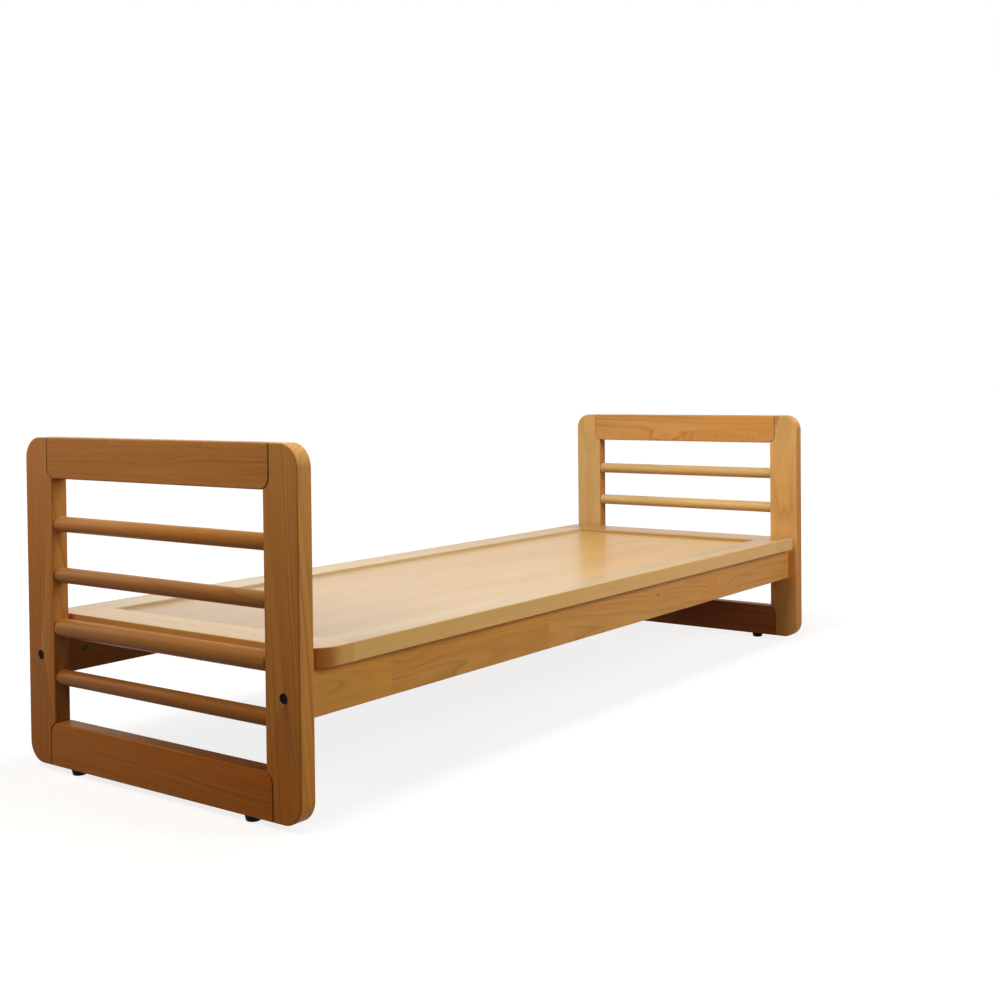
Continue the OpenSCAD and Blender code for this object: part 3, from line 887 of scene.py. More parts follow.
@dataclass(frozen=True)
class Wood:
    """A lacquered softwood: year rings about the heart, cut through by the board's faces.

    Attributes:
        name: The material's name.
        pale: Colour of the spring growth.
        dark: Colour of the ring lines.
        ring: Mean distance between year rings.
        wave: How far the rings wander.
        figure: How strongly the rings show.
        streaks: How strongly the streaks between them show.
        gloss: The lacquer's coat weight.
        shine: Specular level of the wood under it.
        rough: Roughness of the wood under it.
        coat_rough: Roughness of the lacquer.
        index: Refractive index of the lacquered wood.
        relief: Strength of the bump, and its depth.
        swirls: Places where the grain bends round a knot.
        marks: Spots of another colour.
        joints: Places along the grain where lengths are joined end to end.
        lengths: The casts of the lengths, the one before the first joint first.
    """

    name: str
    pale: Colour
    dark: Colour
    ring: float = 0.0085
    wave: float = 0.010
    figure: float = 0.5
    streaks: float = 1.0
    gloss: float = 0.08
    shine: float = 0.12
    rough: float = 0.44
    coat_rough: float = 0.24
    index: float = 1.48
    relief: Pair = (0.16, 0.0004)
    swirls: tuple[Swirl, ...] = ()
    marks: tuple[Mark, ...] = ()
    joints: tuple[float, ...] = ()
    lengths: tuple[Colour, ...] = ()

    def make(self) -> bpy.types.Material:
        """Builds the material: figure, tone, casts with their painted light and shade, marks and joint lines,
        under a lacquer.

        Returns:
            The material; it reads the attributes that dress gives the piece that wears it.
        """
        bench = Bench(bpy.data.materials.new(self.name))
        uncut = grain = bench.read("grain", "Vector")
        # The cast holds the wood's own tone together with painted light and shade
        cast = bench.read("cast", "Color")
        if self.joints:
            grain, own = self.lengthwise(bench, grain)
            cast = bench.tinted(cast, own)
        number, rings = self.rings(bench, grain, uncut)
        streak = bench.noise(rings, STREAK, 3.0, rough=0.6, shift=3.1)
        fibre = bench.noise(grain, FIBRE)
        figure = self.figured(bench, number, rings, streak)
        colour = bench.mix(bench.math("MAXIMUM", figure, 0.0), self.pale, self.dark)
        colour = bench.tinted(self.toned(bench, colour, grain, rings, fibre), cast)
        for mark in self.marks:
            colour = mark.paint(bench, colour, uncut)
        colour = bench.mix(bench.times(bench.read("seam"), JOINT_COVER), colour, JOINT_LINE)
        height = bench.plus(bench.times(figure, SINK), bench.times(fibre, RISE))
        return bench.end("BsdfPrincipled", {
            "Base Color": colour, "Normal": bench.bump(*self.relief, height), "IOR": self.index,
            "Roughness": bench.plus(self.rough - ROUGH_SPREAD / 2, bench.times(streak, ROUGH_SPREAD)),
            "Coat Weight": self.gloss, "Coat Roughness": self.coat_rough, "Specular IOR Level": self.shine})

    def rings(self, bench: Bench, grain: Socket, uncut: Socket) -> tuple[Socket, Socket]:
        """Where each point lies among the year rings.

        The ring number is the distance from the heart, bent by two noises and by the swirls, over the
        ring spacing. A slow noise of the number itself makes the rings unequal.

        Args:
            bench: The material's nodes.
            grain: The grain coordinates, moved on by length.
            uncut: The board's own grain coordinates.

        Returns:
            The ring number, and a vector of the place along the grain and that number.
        """
        bend = bench.noise(grain, DRIFT, output="Color")
        bend = bench.centred(bend, (0.0, self.wave * 2, self.wave * 2))
        small = bench.noise(grain, RIPPLE, 1.0, output="Color")
        small = bench.centred(small, (0.0, RIPPLE_SIZE, RIPPLE_SIZE))
        path = bench.vector("ADD", bench.vector("ADD", grain, bend), small)
        push: object = 0.0
        for swirl in self.swirls:
            push = bench.plus(push, swirl.bend(bench, bench.vector("ADD", uncut, small)))
        distance = bench.plus(bench.vector("LENGTH", bench.scaled(path, (0.0, 1.0, 1.0))), push)
        number = bench.math("DIVIDE", distance, self.ring)
        slow = bench.noise(bench.joined(X=number), (1.0, 1.0, 1.0))
        number = bench.plus(number, bench.times(slow, UNEVEN))
        return number, bench.joined(X=bench.part(path, "X"), Y=number)

    def figured(self, bench: Bench, number: Socket, rings: Socket, streak: Socket) -> Socket:
        """How dark the figure is: ring lines, streaks between them, and hairlines.

        A ring's tone rises slowly through the spring growth and falls quickly after the dark summer
        growth. Streaks and hairlines are noises of the ring number and the place along the grain, so
        that they follow the rings.

        Args:
            bench: The material's nodes.
            number: The ring number.
            rings: The place along the grain and the ring number.
            streak: The streaks' noise.

        Returns:
            The figure's depth, about 0 to 1.
        """
        strength = bench.spread(bench.noise(rings, STRENGTH), *STRENGTH_SPAN)
        lines = bench.times(bench.ramp(bench.math("FRACT", number), RING_TONE), strength, self.figure)
        streaks = bench.spread(streak, *STREAK_SPAN, *(depth * self.streaks for depth in STREAK_DEPTH))
        hair = bench.noise(rings, HAIR, shift=5.7)
        return bench.plus(lines, streaks, bench.spread(hair, *HAIR_SPAN, 0.0, HAIR_DEPTH * self.streaks))

    def toned(self, bench: Bench, colour: Socket, grain: Socket, rings: Socket, fibre: Socket) -> Socket:
        """Lays a broad tone, the fibres, the arrises' painted shade and light, and a drift of warmth over the
        figure.

        Args:
            bench: The material's nodes.
            colour: The figure's colour.
            grain: The grain coordinates.
            rings: The place along the grain and the ring number.
            fibre: The fibres' noise.

        Returns:
            The toned colour.
        """
        broad = bench.spread(bench.noise(grain, BROAD), *BROAD_SPAN)
        # The arrises' tone from the cast's fourth value: painted shade on the arrises below 1, painted light
        # above 1
        extra = bench.math("SUBTRACT", bench.read("cast", "Alpha"), 1.0)
        edge = bench.math("MULTIPLY_ADD", bench.read("arris"), extra, 1.0)
        level = bench.times(broad, bench.spread(fibre, *FIBRE_SPAN), edge)
        grey = bench.add("CombineColor", {"Red": level, "Green": level, "Blue": level}).outputs[0]
        colour = bench.tinted(colour, grey)
        warmth = bench.spread(bench.noise(rings, WARMTH, shift=8.3), *WARMTH_SPAN)
        return bench.mix(self.streaks, colour, bench.tinted(colour, bench.mix(warmth, WARM, COOL)))

    def lengthwise(self, bench: Bench, grain: Socket) -> tuple[Socket, Socket]:
        """Gives each length between two joints its own figure, slope of grain and cast.

        Args:
            bench: The material's nodes.
            grain: The board's grain coordinates.

        Returns:
            The coordinates, moved on and sloped by length, and the length's cast.
        """
        along = bench.part(grain, "X")
        length: object = 0.0
        own: object = self.lengths[0]
        for joint, cast in zip(self.joints, self.lengths[1:]):
            past = bench.math("GREATER_THAN", along, joint)
            length = bench.plus(length, past)
            own = bench.mix(past, own, cast)
        pick = bench.add("TexWhiteNoise", {"W": length}, noise_dimensions="1D")
        lean = bench.times(bench.math("SUBTRACT", pick.outputs["Value"], 0.5), bench.times(along, SLOPE))
        jump = bench.centred(pick.outputs["Color"], JUMP)
        return bench.vector("ADD", bench.vector("ADD", grain, jump), bench.joined(Z=lean)), own


@dataclass(frozen=True)
class Metal:
    """Zinc-plated steel, with the faint clouding of its plating.

    Attributes:
        name: The material's name.
        colour: Its colour.
        cloud: Its colour where it is clouded.
        scales: Noise scales of the clouding and of the grit.
        clouded: The part of the clouding's noise that counts, low and high.
        gritty: The same of the grit's.
        rough: Roughness from the smooth grit to the coarse.
        relief: Strength of the bump, and its depth.
    """

    name: str = "zinc_steel"
    colour: Colour = paint(176, 176, 172)
    cloud: Colour = paint(140, 138, 130)
    scales: Pair = (180.0, 1400.0)
    clouded: Pair = (0.3, 0.7)
    gritty: Pair = (0.2, 0.8)
    rough: Pair = (0.28, 0.46)
    relief: Pair = (0.12, 0.0002)

    def make(self) -> bpy.types.Material:
        """Builds the material from two noises: clouding in the colour, fine grit in the gloss and bump.

        Returns:
            The material.
        """
        bench = Bench(bpy.data.materials.new(self.name))
        clouding = bench.noise(bench.object_place(), (self.scales[0],) * 3, 3.0)
        grit = bench.noise(bench.object_place(), (self.scales[1],) * 3)
        return bench.end("BsdfPrincipled", {
            "Base Color": bench.mix(bench.spread(clouding, *self.clouded), self.colour, self.cloud),
            "Roughness": bench.spread(grit, *self.gritty, *self.rough), "Metallic": 1.0,
            "Normal": bench.bump(*self.relief, grit)})


@dataclass(frozen=True)
class Plastic:
    """Moulded dark plastic with a fine leathery texture.

    Attributes:
        name: The material's name.
        colour: Its colour.
        worn: Its colour where it is worn.
        scales: Scales of the cells and of the wear.
        faded: The part of the wear's noise that counts for the colour, low and high.
        rubbed: The same for the roughness.
        rough: Roughness from the new parts to the worn.
        shine: Specular level.
        relief: Strength of the bump, and its depth.
    """

    name: str = "dark_plastic"
    colour: Colour = paint(11, 8, 7)
    worn: Colour = paint(20, 15, 12)
    scales: Pair = (900.0, 220.0)
    faded: Pair = (0.4, 0.75)
    rubbed: Pair = (0.3, 0.7)
    rough: Pair = (0.42, 0.56)
    shine: float = 0.05
    relief: Pair = (0.2, 0.0002)

    def make(self) -> bpy.types.Material:
        """Builds the material from a cell texture for its grain and a noise for its wear.

        Returns:
            The material.
        """
        bench = Bench(bpy.data.materials.new(self.name))
        cells = bench.add("TexVoronoi", {"Vector": bench.object_place(), "Scale": self.scales[0]})
        wear = bench.noise(bench.object_place(), (self.scales[1],) * 3, 3.0)
        return bench.end("BsdfPrincipled", {
            "Base Color": bench.mix(bench.spread(wear, *self.faded), self.colour, self.worn),
            "Roughness": bench.spread(wear, *self.rubbed, *self.rough), "Specular IOR Level": self.shine,
            "Normal": bench.bump(*self.relief, cells.outputs["Distance"])})


class Finishes:
    """The bed's finishes, made once and shared."""

    def __init__(self) -> None:
        """Makes every material."""
        wood = Wood(
            "golden_pine", paint(216, 156, 88), paint(148, 80, 32), streaks=0.75, gloss=0.06, shine=0.07)
        self.pine = wood.make()
        self.rung_pine = replace(wood, name="rung_pine", figure=0.3, streaks=0.4).make()
        rail_wood = replace(
            wood, name="jointed_pine", pale=paint(228, 172, 96), dark=paint(160, 92, 40), wave=0.016,
            figure=0.42, joints=(-0.7791, -0.2571, 0.37),
            lengths=((1.06, 1.02, 0.84), (1.02, 0.96, 0.88), (0.97, 0.96, 1.03), (0.98, 0.92, 0.90)))
        rear_shift = SideRails.cut(Depth.REAR).shift
        self.rear_rail_pine = replace(
            rail_wood, joints=tuple(rear_shift + joint for joint in (-0.61, -0.09, 0.48))).make()
        at = SideRails.cut(Depth.FRONT).at
        self.front_rail_pine = replace(
            rail_wood, name="knotted_pine",
            swirls=(
                Swirl(at(0.222, -0.372, 0.2440), (0.034, 0.020), 0.024),
                Swirl(at(0.568, -0.372, 0.2277), (0.060, 0.022), 0.022),
                Swirl(at(-0.724, -0.372, 0.2558), (0.045, 0.020), 0.014)),
            marks=(Mark(at(0.2270, -0.372, 0.2483), (0.0050, 0.02, 0.0022), paint(92, 48, 20)),)).make()
        at = EndFrame.rail_cut(Side.LEFT, True).at
        self.swirled_pine = replace(
            wood, name="swirled_pine", figure=0.42, streaks=0.6,
            swirls=(
                Swirl(at(-1.045, -0.020, 0.652), (0.050, 0.015), 0.012),
                Swirl(at(-1.045, 0.213, 0.658), (0.026, 0.012), 0.008),
                Swirl(at(-1.045, -0.230, 0.676), (0.090, 0.010), 0.007)),
            marks=(Mark(at(-1.045, -0.149, 0.6835), (0.0045, 0.012, 0.0030), paint(176, 128, 88)),)).make()
        at = EndFrame.rail_cut(Side.RIGHT, True).at
        self.flamed_pine = replace(
            wood, name="flamed_pine", figure=0.62, streaks=0.6,
            swirls=(
                Swirl(at(1.010, -0.070, 0.618), (0.055, 0.016), 0.0032, 0.026),
                Swirl(at(1.010, -0.190, 0.610), (0.080, 0.012), 0.0030, 0.020),
                Swirl(at(1.010, 0.060, 0.622), (0.050, 0.014), 0.009))).make()
        rim_wood = replace(
            wood, name="light_pine", pale=paint(232, 200, 144), dark=paint(200, 152, 92), figure=0.3,
            streaks=0.6, ring=0.006, gloss=0.3, shine=0.2, rough=0.38)
        self.light_pine = rim_wood.make()
        # The deck's left front corner beside the stile: painted shade and a painted reflection of the stile,
        # darker and more golden
        corner = Deck.end_cut(Side.LEFT).at(-1.000, -0.372, 0.300)
        self.corner_shade_pine = replace(
            rim_wood, name="corner_shade_pine",
            marks=(Mark(corner, (0.090, 0.060, 0.080), paint(190, 114, 10), 0.5, True),)).make()
        self.birch = Wood(
            "birch_ply", paint(224, 194, 148), paint(204, 166, 116), ring=0.016, wave=0.03, figure=0.12,
            streaks=0.28, gloss=0.3, shine=0.2, rough=0.38).make()
        self.plain = Wood(
            "plain_softwood", paint(226, 196, 150), paint(194, 150, 98), ring=0.004, figure=0.45, gloss=0.0,
            rough=0.6).make()
        self.steel = Metal().make()
        self.dark_steel = Metal("browned_steel", paint(58, 48, 42), paint(38, 30, 26)).make()
        self.plastic = Plastic().make()


def dress(
    name: str,
    surface: Surface,
    material: bpy.types.Material,
    grain: Grain | None,
    body: str,
    node: str,
) -> None:
    """Makes a piece that stands for a CAD node and rides on its body.

    Args:
        name: The piece's name.
        surface: Its shape, in the bed's coordinates.
        material: Its finish.
        grain: How its wood was cut, or None for a piece that isn't wood.
        body: The body that carries it.
        node: The CAD node that it stands for.
    """
    mesh = surface.mesh(name)
    if grain is not None:
        count = len(mesh.vertices)
        place, way = np.empty(count * 3), np.empty(count)
        mesh.vertices.foreach_get("co", place)
        mesh.attributes["outward"].data.foreach_get("value", way)
        measured = grain.coordinates(place.reshape(-1, 3))
        shades = TINTS_AND_PAINTED_LIGHT.get(node, Tint()).shades(measured[:, 0], way)
        attribute = mesh.attributes.new("grain", "FLOAT_VECTOR", "POINT")
        attribute.data.foreach_set("vector", measured.astype(np.float32).ravel())
        attribute = mesh.attributes.new("cast", "FLOAT_COLOR", "POINT")
        attribute.data.foreach_set("color", shades.astype(np.float32).ravel())
    mesh.materials.append(material)
    piece = bpy.data.objects.new(name, mesh)
    bpy.context.scene.collection.objects.link(piece)
    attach(piece, body)
    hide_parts(node)
    LOG.info("%s: %d faces", name, len(mesh.polygons))


@dataclass
class EndFrame:
    """A ladder end frame: two stiles, two rails let into them, four rungs and two glides."""

    side: Side
    finishes: Finishes
    half_l: float = 1.045
    half_w: float = 0.400
    end_h: float = 0.688
    glide_h: float = 0.012
    board_t: float = 0.035
    stile_w: float = 0.088
    top_rail_z: float = 0.604
    bottom_rail_top: float = 0.102
    corner_r: float = 0.044
    joint_y: float = 0.3275
    rail_corner_r: float = 0.024
    curve_steps: int = 10
    joint_gap: float = 0.0002
    outer_arris: float = 0.0028
    inner_arris: float = 0.0022
    joint_arris: float = 0.0025
    rung_r: float = 0.016
    deck_rung_r: float = 0.019
    rung_end_r: float = 0.0125
    seam_reach: float = 0.0008
    tenon_r: float = 0.011
    tenon_l: float = 0.022
    tenon_ease: float = 0.001
    tenon_gap: float = 0.0005
    rail_mid_y: float = 0.3585
    rail_mid_z: float = 0.237
    cap_r: float = 0.010
    bore_r: float = 0.0101
    counterbore: float = 0.014
    glide_y: float = 0.258
    glide_top_r: float = 0.0165
    glide_foot_r: float = 0.0135
    screw_head_r: float = 0.0041
    screw_recess: float = 0.003
    recess_gap: float = 0.001
    # The glide's foot and top, as height and radius from the nominal ones
    glide_foot: tuple[Pair, ...] = ((0.0, -0.0014), (0.0003, -0.0006), (0.0011, 0.000275))
    glide_top: tuple[Pair, ...] = ((-0.0004, -0.0001), (0.0, -EASE))
    # The glide's groove, as share of its height and depth
    glide_groove: tuple[Pair, ...] = ((0.72, 0.0), (0.78, EASE), (0.84, 0.0))
    rungs: tuple[tuple[str, float], ...] = (
        ("top_rung", 0.5095), ("upper_rung", 0.4045), ("deck_rung", 0.2955), ("low_rung", 0.1935))

    @property
    def clear_y(self) -> float:
        """Half of the clear width between the stiles."""
        return self.half_w - self.stile_w

    @property
    def mid_x(self) -> float:
        """The distance of the boards' middle from the bed's middle."""
        return self.half_l - self.board_t / 2

    @classmethod
    def rail_cut(cls, side: Side, up: bool) -> Grain:
        """How a rail was cut: the bottom ones alike, and each top one with a heart of its own.

        Args:
            side: The end.
            up: Whether it is the top rail.

        Returns:
            Its grain.
        """
        inner = side.value * (cls.half_l - cls.board_t)
        if not up:
            return Grain(Axis.Y, (inner + 0.07, -0.03), (0.03, 0.02), 2.1 * side.value)
        heart = (inner + 0.06, 0.50) if side is Side.LEFT else (inner + 0.13, 0.612)
        return Grain(Axis.Y, heart, (0.02, 0.03), 1.3 * side.value)

    def stile_cut(self, depth: Depth) -> Grain:
        """How a stile was cut: its rings run nearly straight up its face.

        Args:
            depth: The stile's side.

        Returns:
            Its grain.
        """
        sign = self.side.value
        past_x, past_y = (0.05, 0.10) if self.side is Side.LEFT else (0.14, -0.03)
        heart = (sign * (self.half_l - self.board_t) + past_x, depth.value * (self.half_w + past_y))
        return Grain(Axis.Z, heart, (0.02, 0.03 * depth.value), 1.9 * sign + 0.7 * depth.value)

    def rung_cut(self, number: int, height: float) -> Grain:
        """How a rung was cut: the heart lies below it and to its right, and each has its own figure."""
        sign = self.side.value
        heart = (sign * self.mid_x + 0.07, height - 0.09)
        return Grain(Axis.Y, heart, (0.02, -0.02), 2.9 * sign + 0.9 * number)

    def joint_tone(self, depth: Depth) -> float:
        """How dark the joint lines are: the left frame's front ones are the darkest."""
        if self.side is Side.RIGHT:
            return 0.38
        return 1.0 if depth is Depth.FRONT else 0.6

    def place(self, surface: Surface, depth: Depth = Depth.FRONT) -> Surface:
        """Carries a surface made for the left front corner to this end and the given side.

        Args:
            surface: The surface.
            depth: The side.

        Returns:
            The surface in its place.
        """
        if self.side is Side.RIGHT:
            surface = surface.mirrored(Axis.X)
        if depth is Depth.REAR:
            surface = surface.mirrored(Axis.Y)
        return surface

    def housing(self, up: bool, tone: float) -> list[Corner]:
        """The stile's curved edge against a rail's end, from the frame's edge to the opening.

        The curve is the rail's rounded corner: points on a circle, up to where it crosses the stile's
        inner edge.

        Args:
            up: Whether it is the top rail's end.
            tone: How dark its joint line is.

        Returns:
            The corners from the rail's outer edge inwards, in order of travel from the frame's edge.
        """
        edge = self.joint_y + self.joint_gap
        radius = self.rail_corner_r + self.joint_gap
        level = self.top_rail_z - self.joint_gap if up else self.bottom_rail_top + self.joint_gap
        sign = 1 if up else -1
        y, z = -edge + radius, level + sign * radius
        last = math.acos((self.clear_y - (edge - radius)) / radius)
        joint = {"arris": self.joint_arris, "seam": tone}
        start = Corner(-edge, self.end_h if up else self.glide_h, **joint)
        curve = [
            Corner(y - radius * math.cos(t), z - sign * radius * math.sin(t), turn=0.0, steps=1, **joint)
            for t in np.linspace(0, last, self.curve_steps)[:-1]
        ]
        end = Corner(-self.clear_y, z - sign * radius * math.sin(last), turn=SOFT, **joint)
        return [start, *curve, end]

    def stile(self, tone: float) -> Surface:
        """The left front stile: its outline between the frame's edge, the rails and the opening.

        Args:
            tone: How dark its joint lines are.

        Returns:
            The stile.
        """
        rise = self.housing(False, tone)
        rise[-1] = replace(rise[-1], arris=self.inner_arris, seam=0.0)
        fall = self.housing(True, tone)[::-1]
        fall[-1] = replace(fall[-1], arris=self.outer_arris, seam=0.0)
        outline = [
            Corner(-self.half_w, self.end_h, turn=self.corner_r, steps=14, arris=self.outer_arris),
            Corner(-self.half_w, self.glide_h, turn=self.corner_r, steps=14, arris=self.inner_arris),
            *rise,
            *fall,
        ]
        profile = ((0.0, self.cap_r + EASE), (EASE, self.bore_r), (self.counterbore, self.bore_r))
        bore = Bore(-self.rail_mid_y, self.rail_mid_z, profile, far_face=True)
        return board(Outline(outline), -self.half_l, -self.half_l + self.board_t, Axis.X, (bore,))

    def rail(self, up: bool) -> Surface:
        """The top or bottom rail, with the two corners that sit in the stiles rounded.

        Args:
            up: Whether it is the top rail.

        Returns:
            The rail for the left end.
        """
        y = self.joint_y
        front, rear = (self.joint_tone(depth) for depth in Depth)
        plain, curved = {}, {"turn": self.rail_corner_r, "steps": self.curve_steps}
        if up:
            low, high, at_low, at_high = self.top_rail_z, self.end_h, curved, plain
        else:
            low, high, at_low, at_high = self.glide_h, self.bottom_rail_top, plain, curved
        corners = [
            Corner(-y, low, arris=self.outer_arris if up else self.inner_arris, **at_low),
            Corner(y, low, arris=self.joint_arris, seam=rear, **at_low),
            Corner(y, high, arris=self.outer_arris, **at_high),
            Corner(-y, high, arris=self.joint_arris, seam=front, **at_high),
        ]
        return board(Outline(corners), -self.half_l, -self.half_l + self.board_t, Axis.X)

    def rung(self, height: float, radius: float) -> Surface:
        """A rung with its ends rounded over to the smaller circle that meets the stile.

        Args:
            height: Its axis above the floor.
            radius: Its radius.

        Returns:
            The rung for the left end, with its tenons.
        """
        end = self.clear_y
        tip = end + self.tenon_l
        ease = self.tenon_ease
        half = [(tip, 0.0), (tip, self.tenon_r - ease), (tip - ease, self.tenon_r)]
        half.append((end + self.tenon_gap, self.tenon_r))
        half += rounded(end, radius, -1, radius - self.rung_end_r)
        first = [(-along, r) for along, r in half]
        bar = turned_piece(first + half[::-1], Axis.Y, (height, -self.mid_x))
        from_stile = end - np.abs(bar.rows[:, 1])
        bar.rows[:, SEAM] = np.clip(1 - from_stile / self.seam_reach, 0, 1)
        return bar

    def glide(self) -> Surface:
        """Both glides of the left frame: cones with a screw's recess, a soft foot, a groove and a top.

        Returns:
            The two as one surface.
        """
        top, foot, head, height = self.glide_top_r, self.glide_foot_r, self.screw_head_r, self.glide_h
        slope = (top - foot) / height
        recess = self.screw_recess + self.recess_gap
        profile = [(recess, 0.0), (recess, head), (EASE, head), (0.0, head + EASE)]
        profile += [(up, foot + out) for up, out in self.glide_foot]
        for share, depth in self.glide_groove:
            profile.append((height * share, foot + slope * height * share - depth))
        profile += [(height + up, top + out) for up, out in self.glide_top]
        profile.append((height, 0.0))
        one = turned_piece(profile, Axis.Z, (-self.mid_x, -self.glide_y), 56)
        return one.joined(one.mirrored(Axis.Y))

    def build(self) -> None:
        """Makes and dresses every piece of the frame."""
        word, pine = self.side.word, self.finishes.pine
        for depth in Depth:
            name = f"{word}_{depth.word}_stile"
            stile = self.place(self.stile(self.joint_tone(depth)), depth)
            dress(f"{name}_board", stile, pine, self.stile_cut(depth), BED_FRAME, name)
        top = self.finishes.swirled_pine if self.side is Side.LEFT else self.finishes.flamed_pine
        for up, rail_word, material in ((True, "top_rail", top), (False, "bottom_rail", pine)):
            name = f"{word}_{rail_word}"
            cut = self.rail_cut(self.side, up)
            dress(f"{name}_board", self.place(self.rail(up)), material, cut, BED_FRAME, name)
        for number, (rung_word, height) in enumerate(self.rungs):
            name = f"{word}_{rung_word}"
            bar = self.place(self.rung(height, self.deck_rung_r if rung_word == "deck_rung" else self.rung_r))
            cut = self.rung_cut(number, height)
            dress(f"{name}_bar", bar, self.finishes.rung_pine, cut, BED_FRAME, name)
        glides = self.place(self.glide())
        dress(f"{word}_glide_pair", glides, self.finishes.plastic, None, BED_FRAME, f"{word}_glides")


@dataclass
class SideRails:
    """The two side rails, with the bores that show the barrel nuts, and the four bolt caps."""

    finishes: Finishes
    inner_x: float = 1.010
    outer_y: float = 0.372
    inner_y: float = 0.345
    low_z: float = 0.192
    high_z: float = 0.282
    arris: float = 0.0028
    nut_x: float = 0.950
    mid_z: float = 0.237
    nut_r: float = 0.0071
    nut_bore: float = 0.022
    nut_ease: float = 0.0004
    half_l: float = 1.045
    mid_y: float = 0.3585
    cap_r: float = 0.010
    cap_recess: float = 0.0015
    cap_t: float = 0.002
    cap_l: float = 0.0109
    cap_skirt: float = 0.001
    # The cap's face from its middle to its rim, as depth and radius
    cap_dish: tuple[Pair, ...] = (
        (0.0005, 0.0), (0.0005, 0.003), (0.0004, 0.006), (0.0001, 0.0081), (0.0, 0.0088), (0.0001, 0.0095))

    @classmethod
    def cut(cls, depth: Depth) -> Grain:
        """How a side rail's lengths were cut."""
        shift = 0.0 if depth is Depth.FRONT else 5.3
        return Grain(Axis.X, (depth.value * 0.30, 0.215), (0.012 * depth.value, 0.02), shift)

    def rail(self) -> Surface:
        """The front rail; its inner face is the high one and has the nuts' bores.

        Returns:
            The rail.
        """
        outline = oblong((self.low_z, -self.inner_x), (self.high_z, self.inner_x), self.arris)
        r, ease = self.nut_r, self.nut_ease
        profile = ((0.0, r + ease), (ease, r), (self.nut_bore, r))
        bores = tuple(Bore(self.mid_z, x, profile) for x in (-self.nut_x, self.nut_x))
        return board(outline, -self.outer_y, -self.inner_y, Axis.Y, bores)

    def cap(self) -> Surface:
        """The left front bolt cap: a slightly dished disc with a soft rim and a skirt.

        Returns:
            The cap.
        """
        face = -self.half_l + self.cap_recess
        r, end, skirt, inside = self.cap_r, face + self.cap_l, self.cap_r - self.cap_skirt, face + self.cap_t
        profile = [(face + depth, radius) for depth, radius in self.cap_dish]
        profile += [(face + EASE, r), (end, r), (end, skirt), (inside, skirt), (inside, 0.0)]
        return turned_piece(profile, Axis.X, (-self.mid_y, self.mid_z), 48)

    def build(self) -> None:
        """Makes and dresses both rails and the caps."""
        front = self.rail()
        for depth, surface, material in (
            (Depth.FRONT, front, self.finishes.front_rail_pine),
            (Depth.REAR, front.mirrored(Axis.Y), self.finishes.rear_rail_pine),
        ):
            name = f"{depth.word}_side_rail"
            dress(f"{name}_board", surface, material, self.cut(depth), BED_FRAME, name)
        pair = self.cap().joined(self.cap().mirrored(Axis.X))
        caps = pair.joined(pair.mirrored(Axis.Y))
        dress("bolt_cap_discs", caps, self.finishes.plastic, None, BED_FRAME, "bolt_caps")


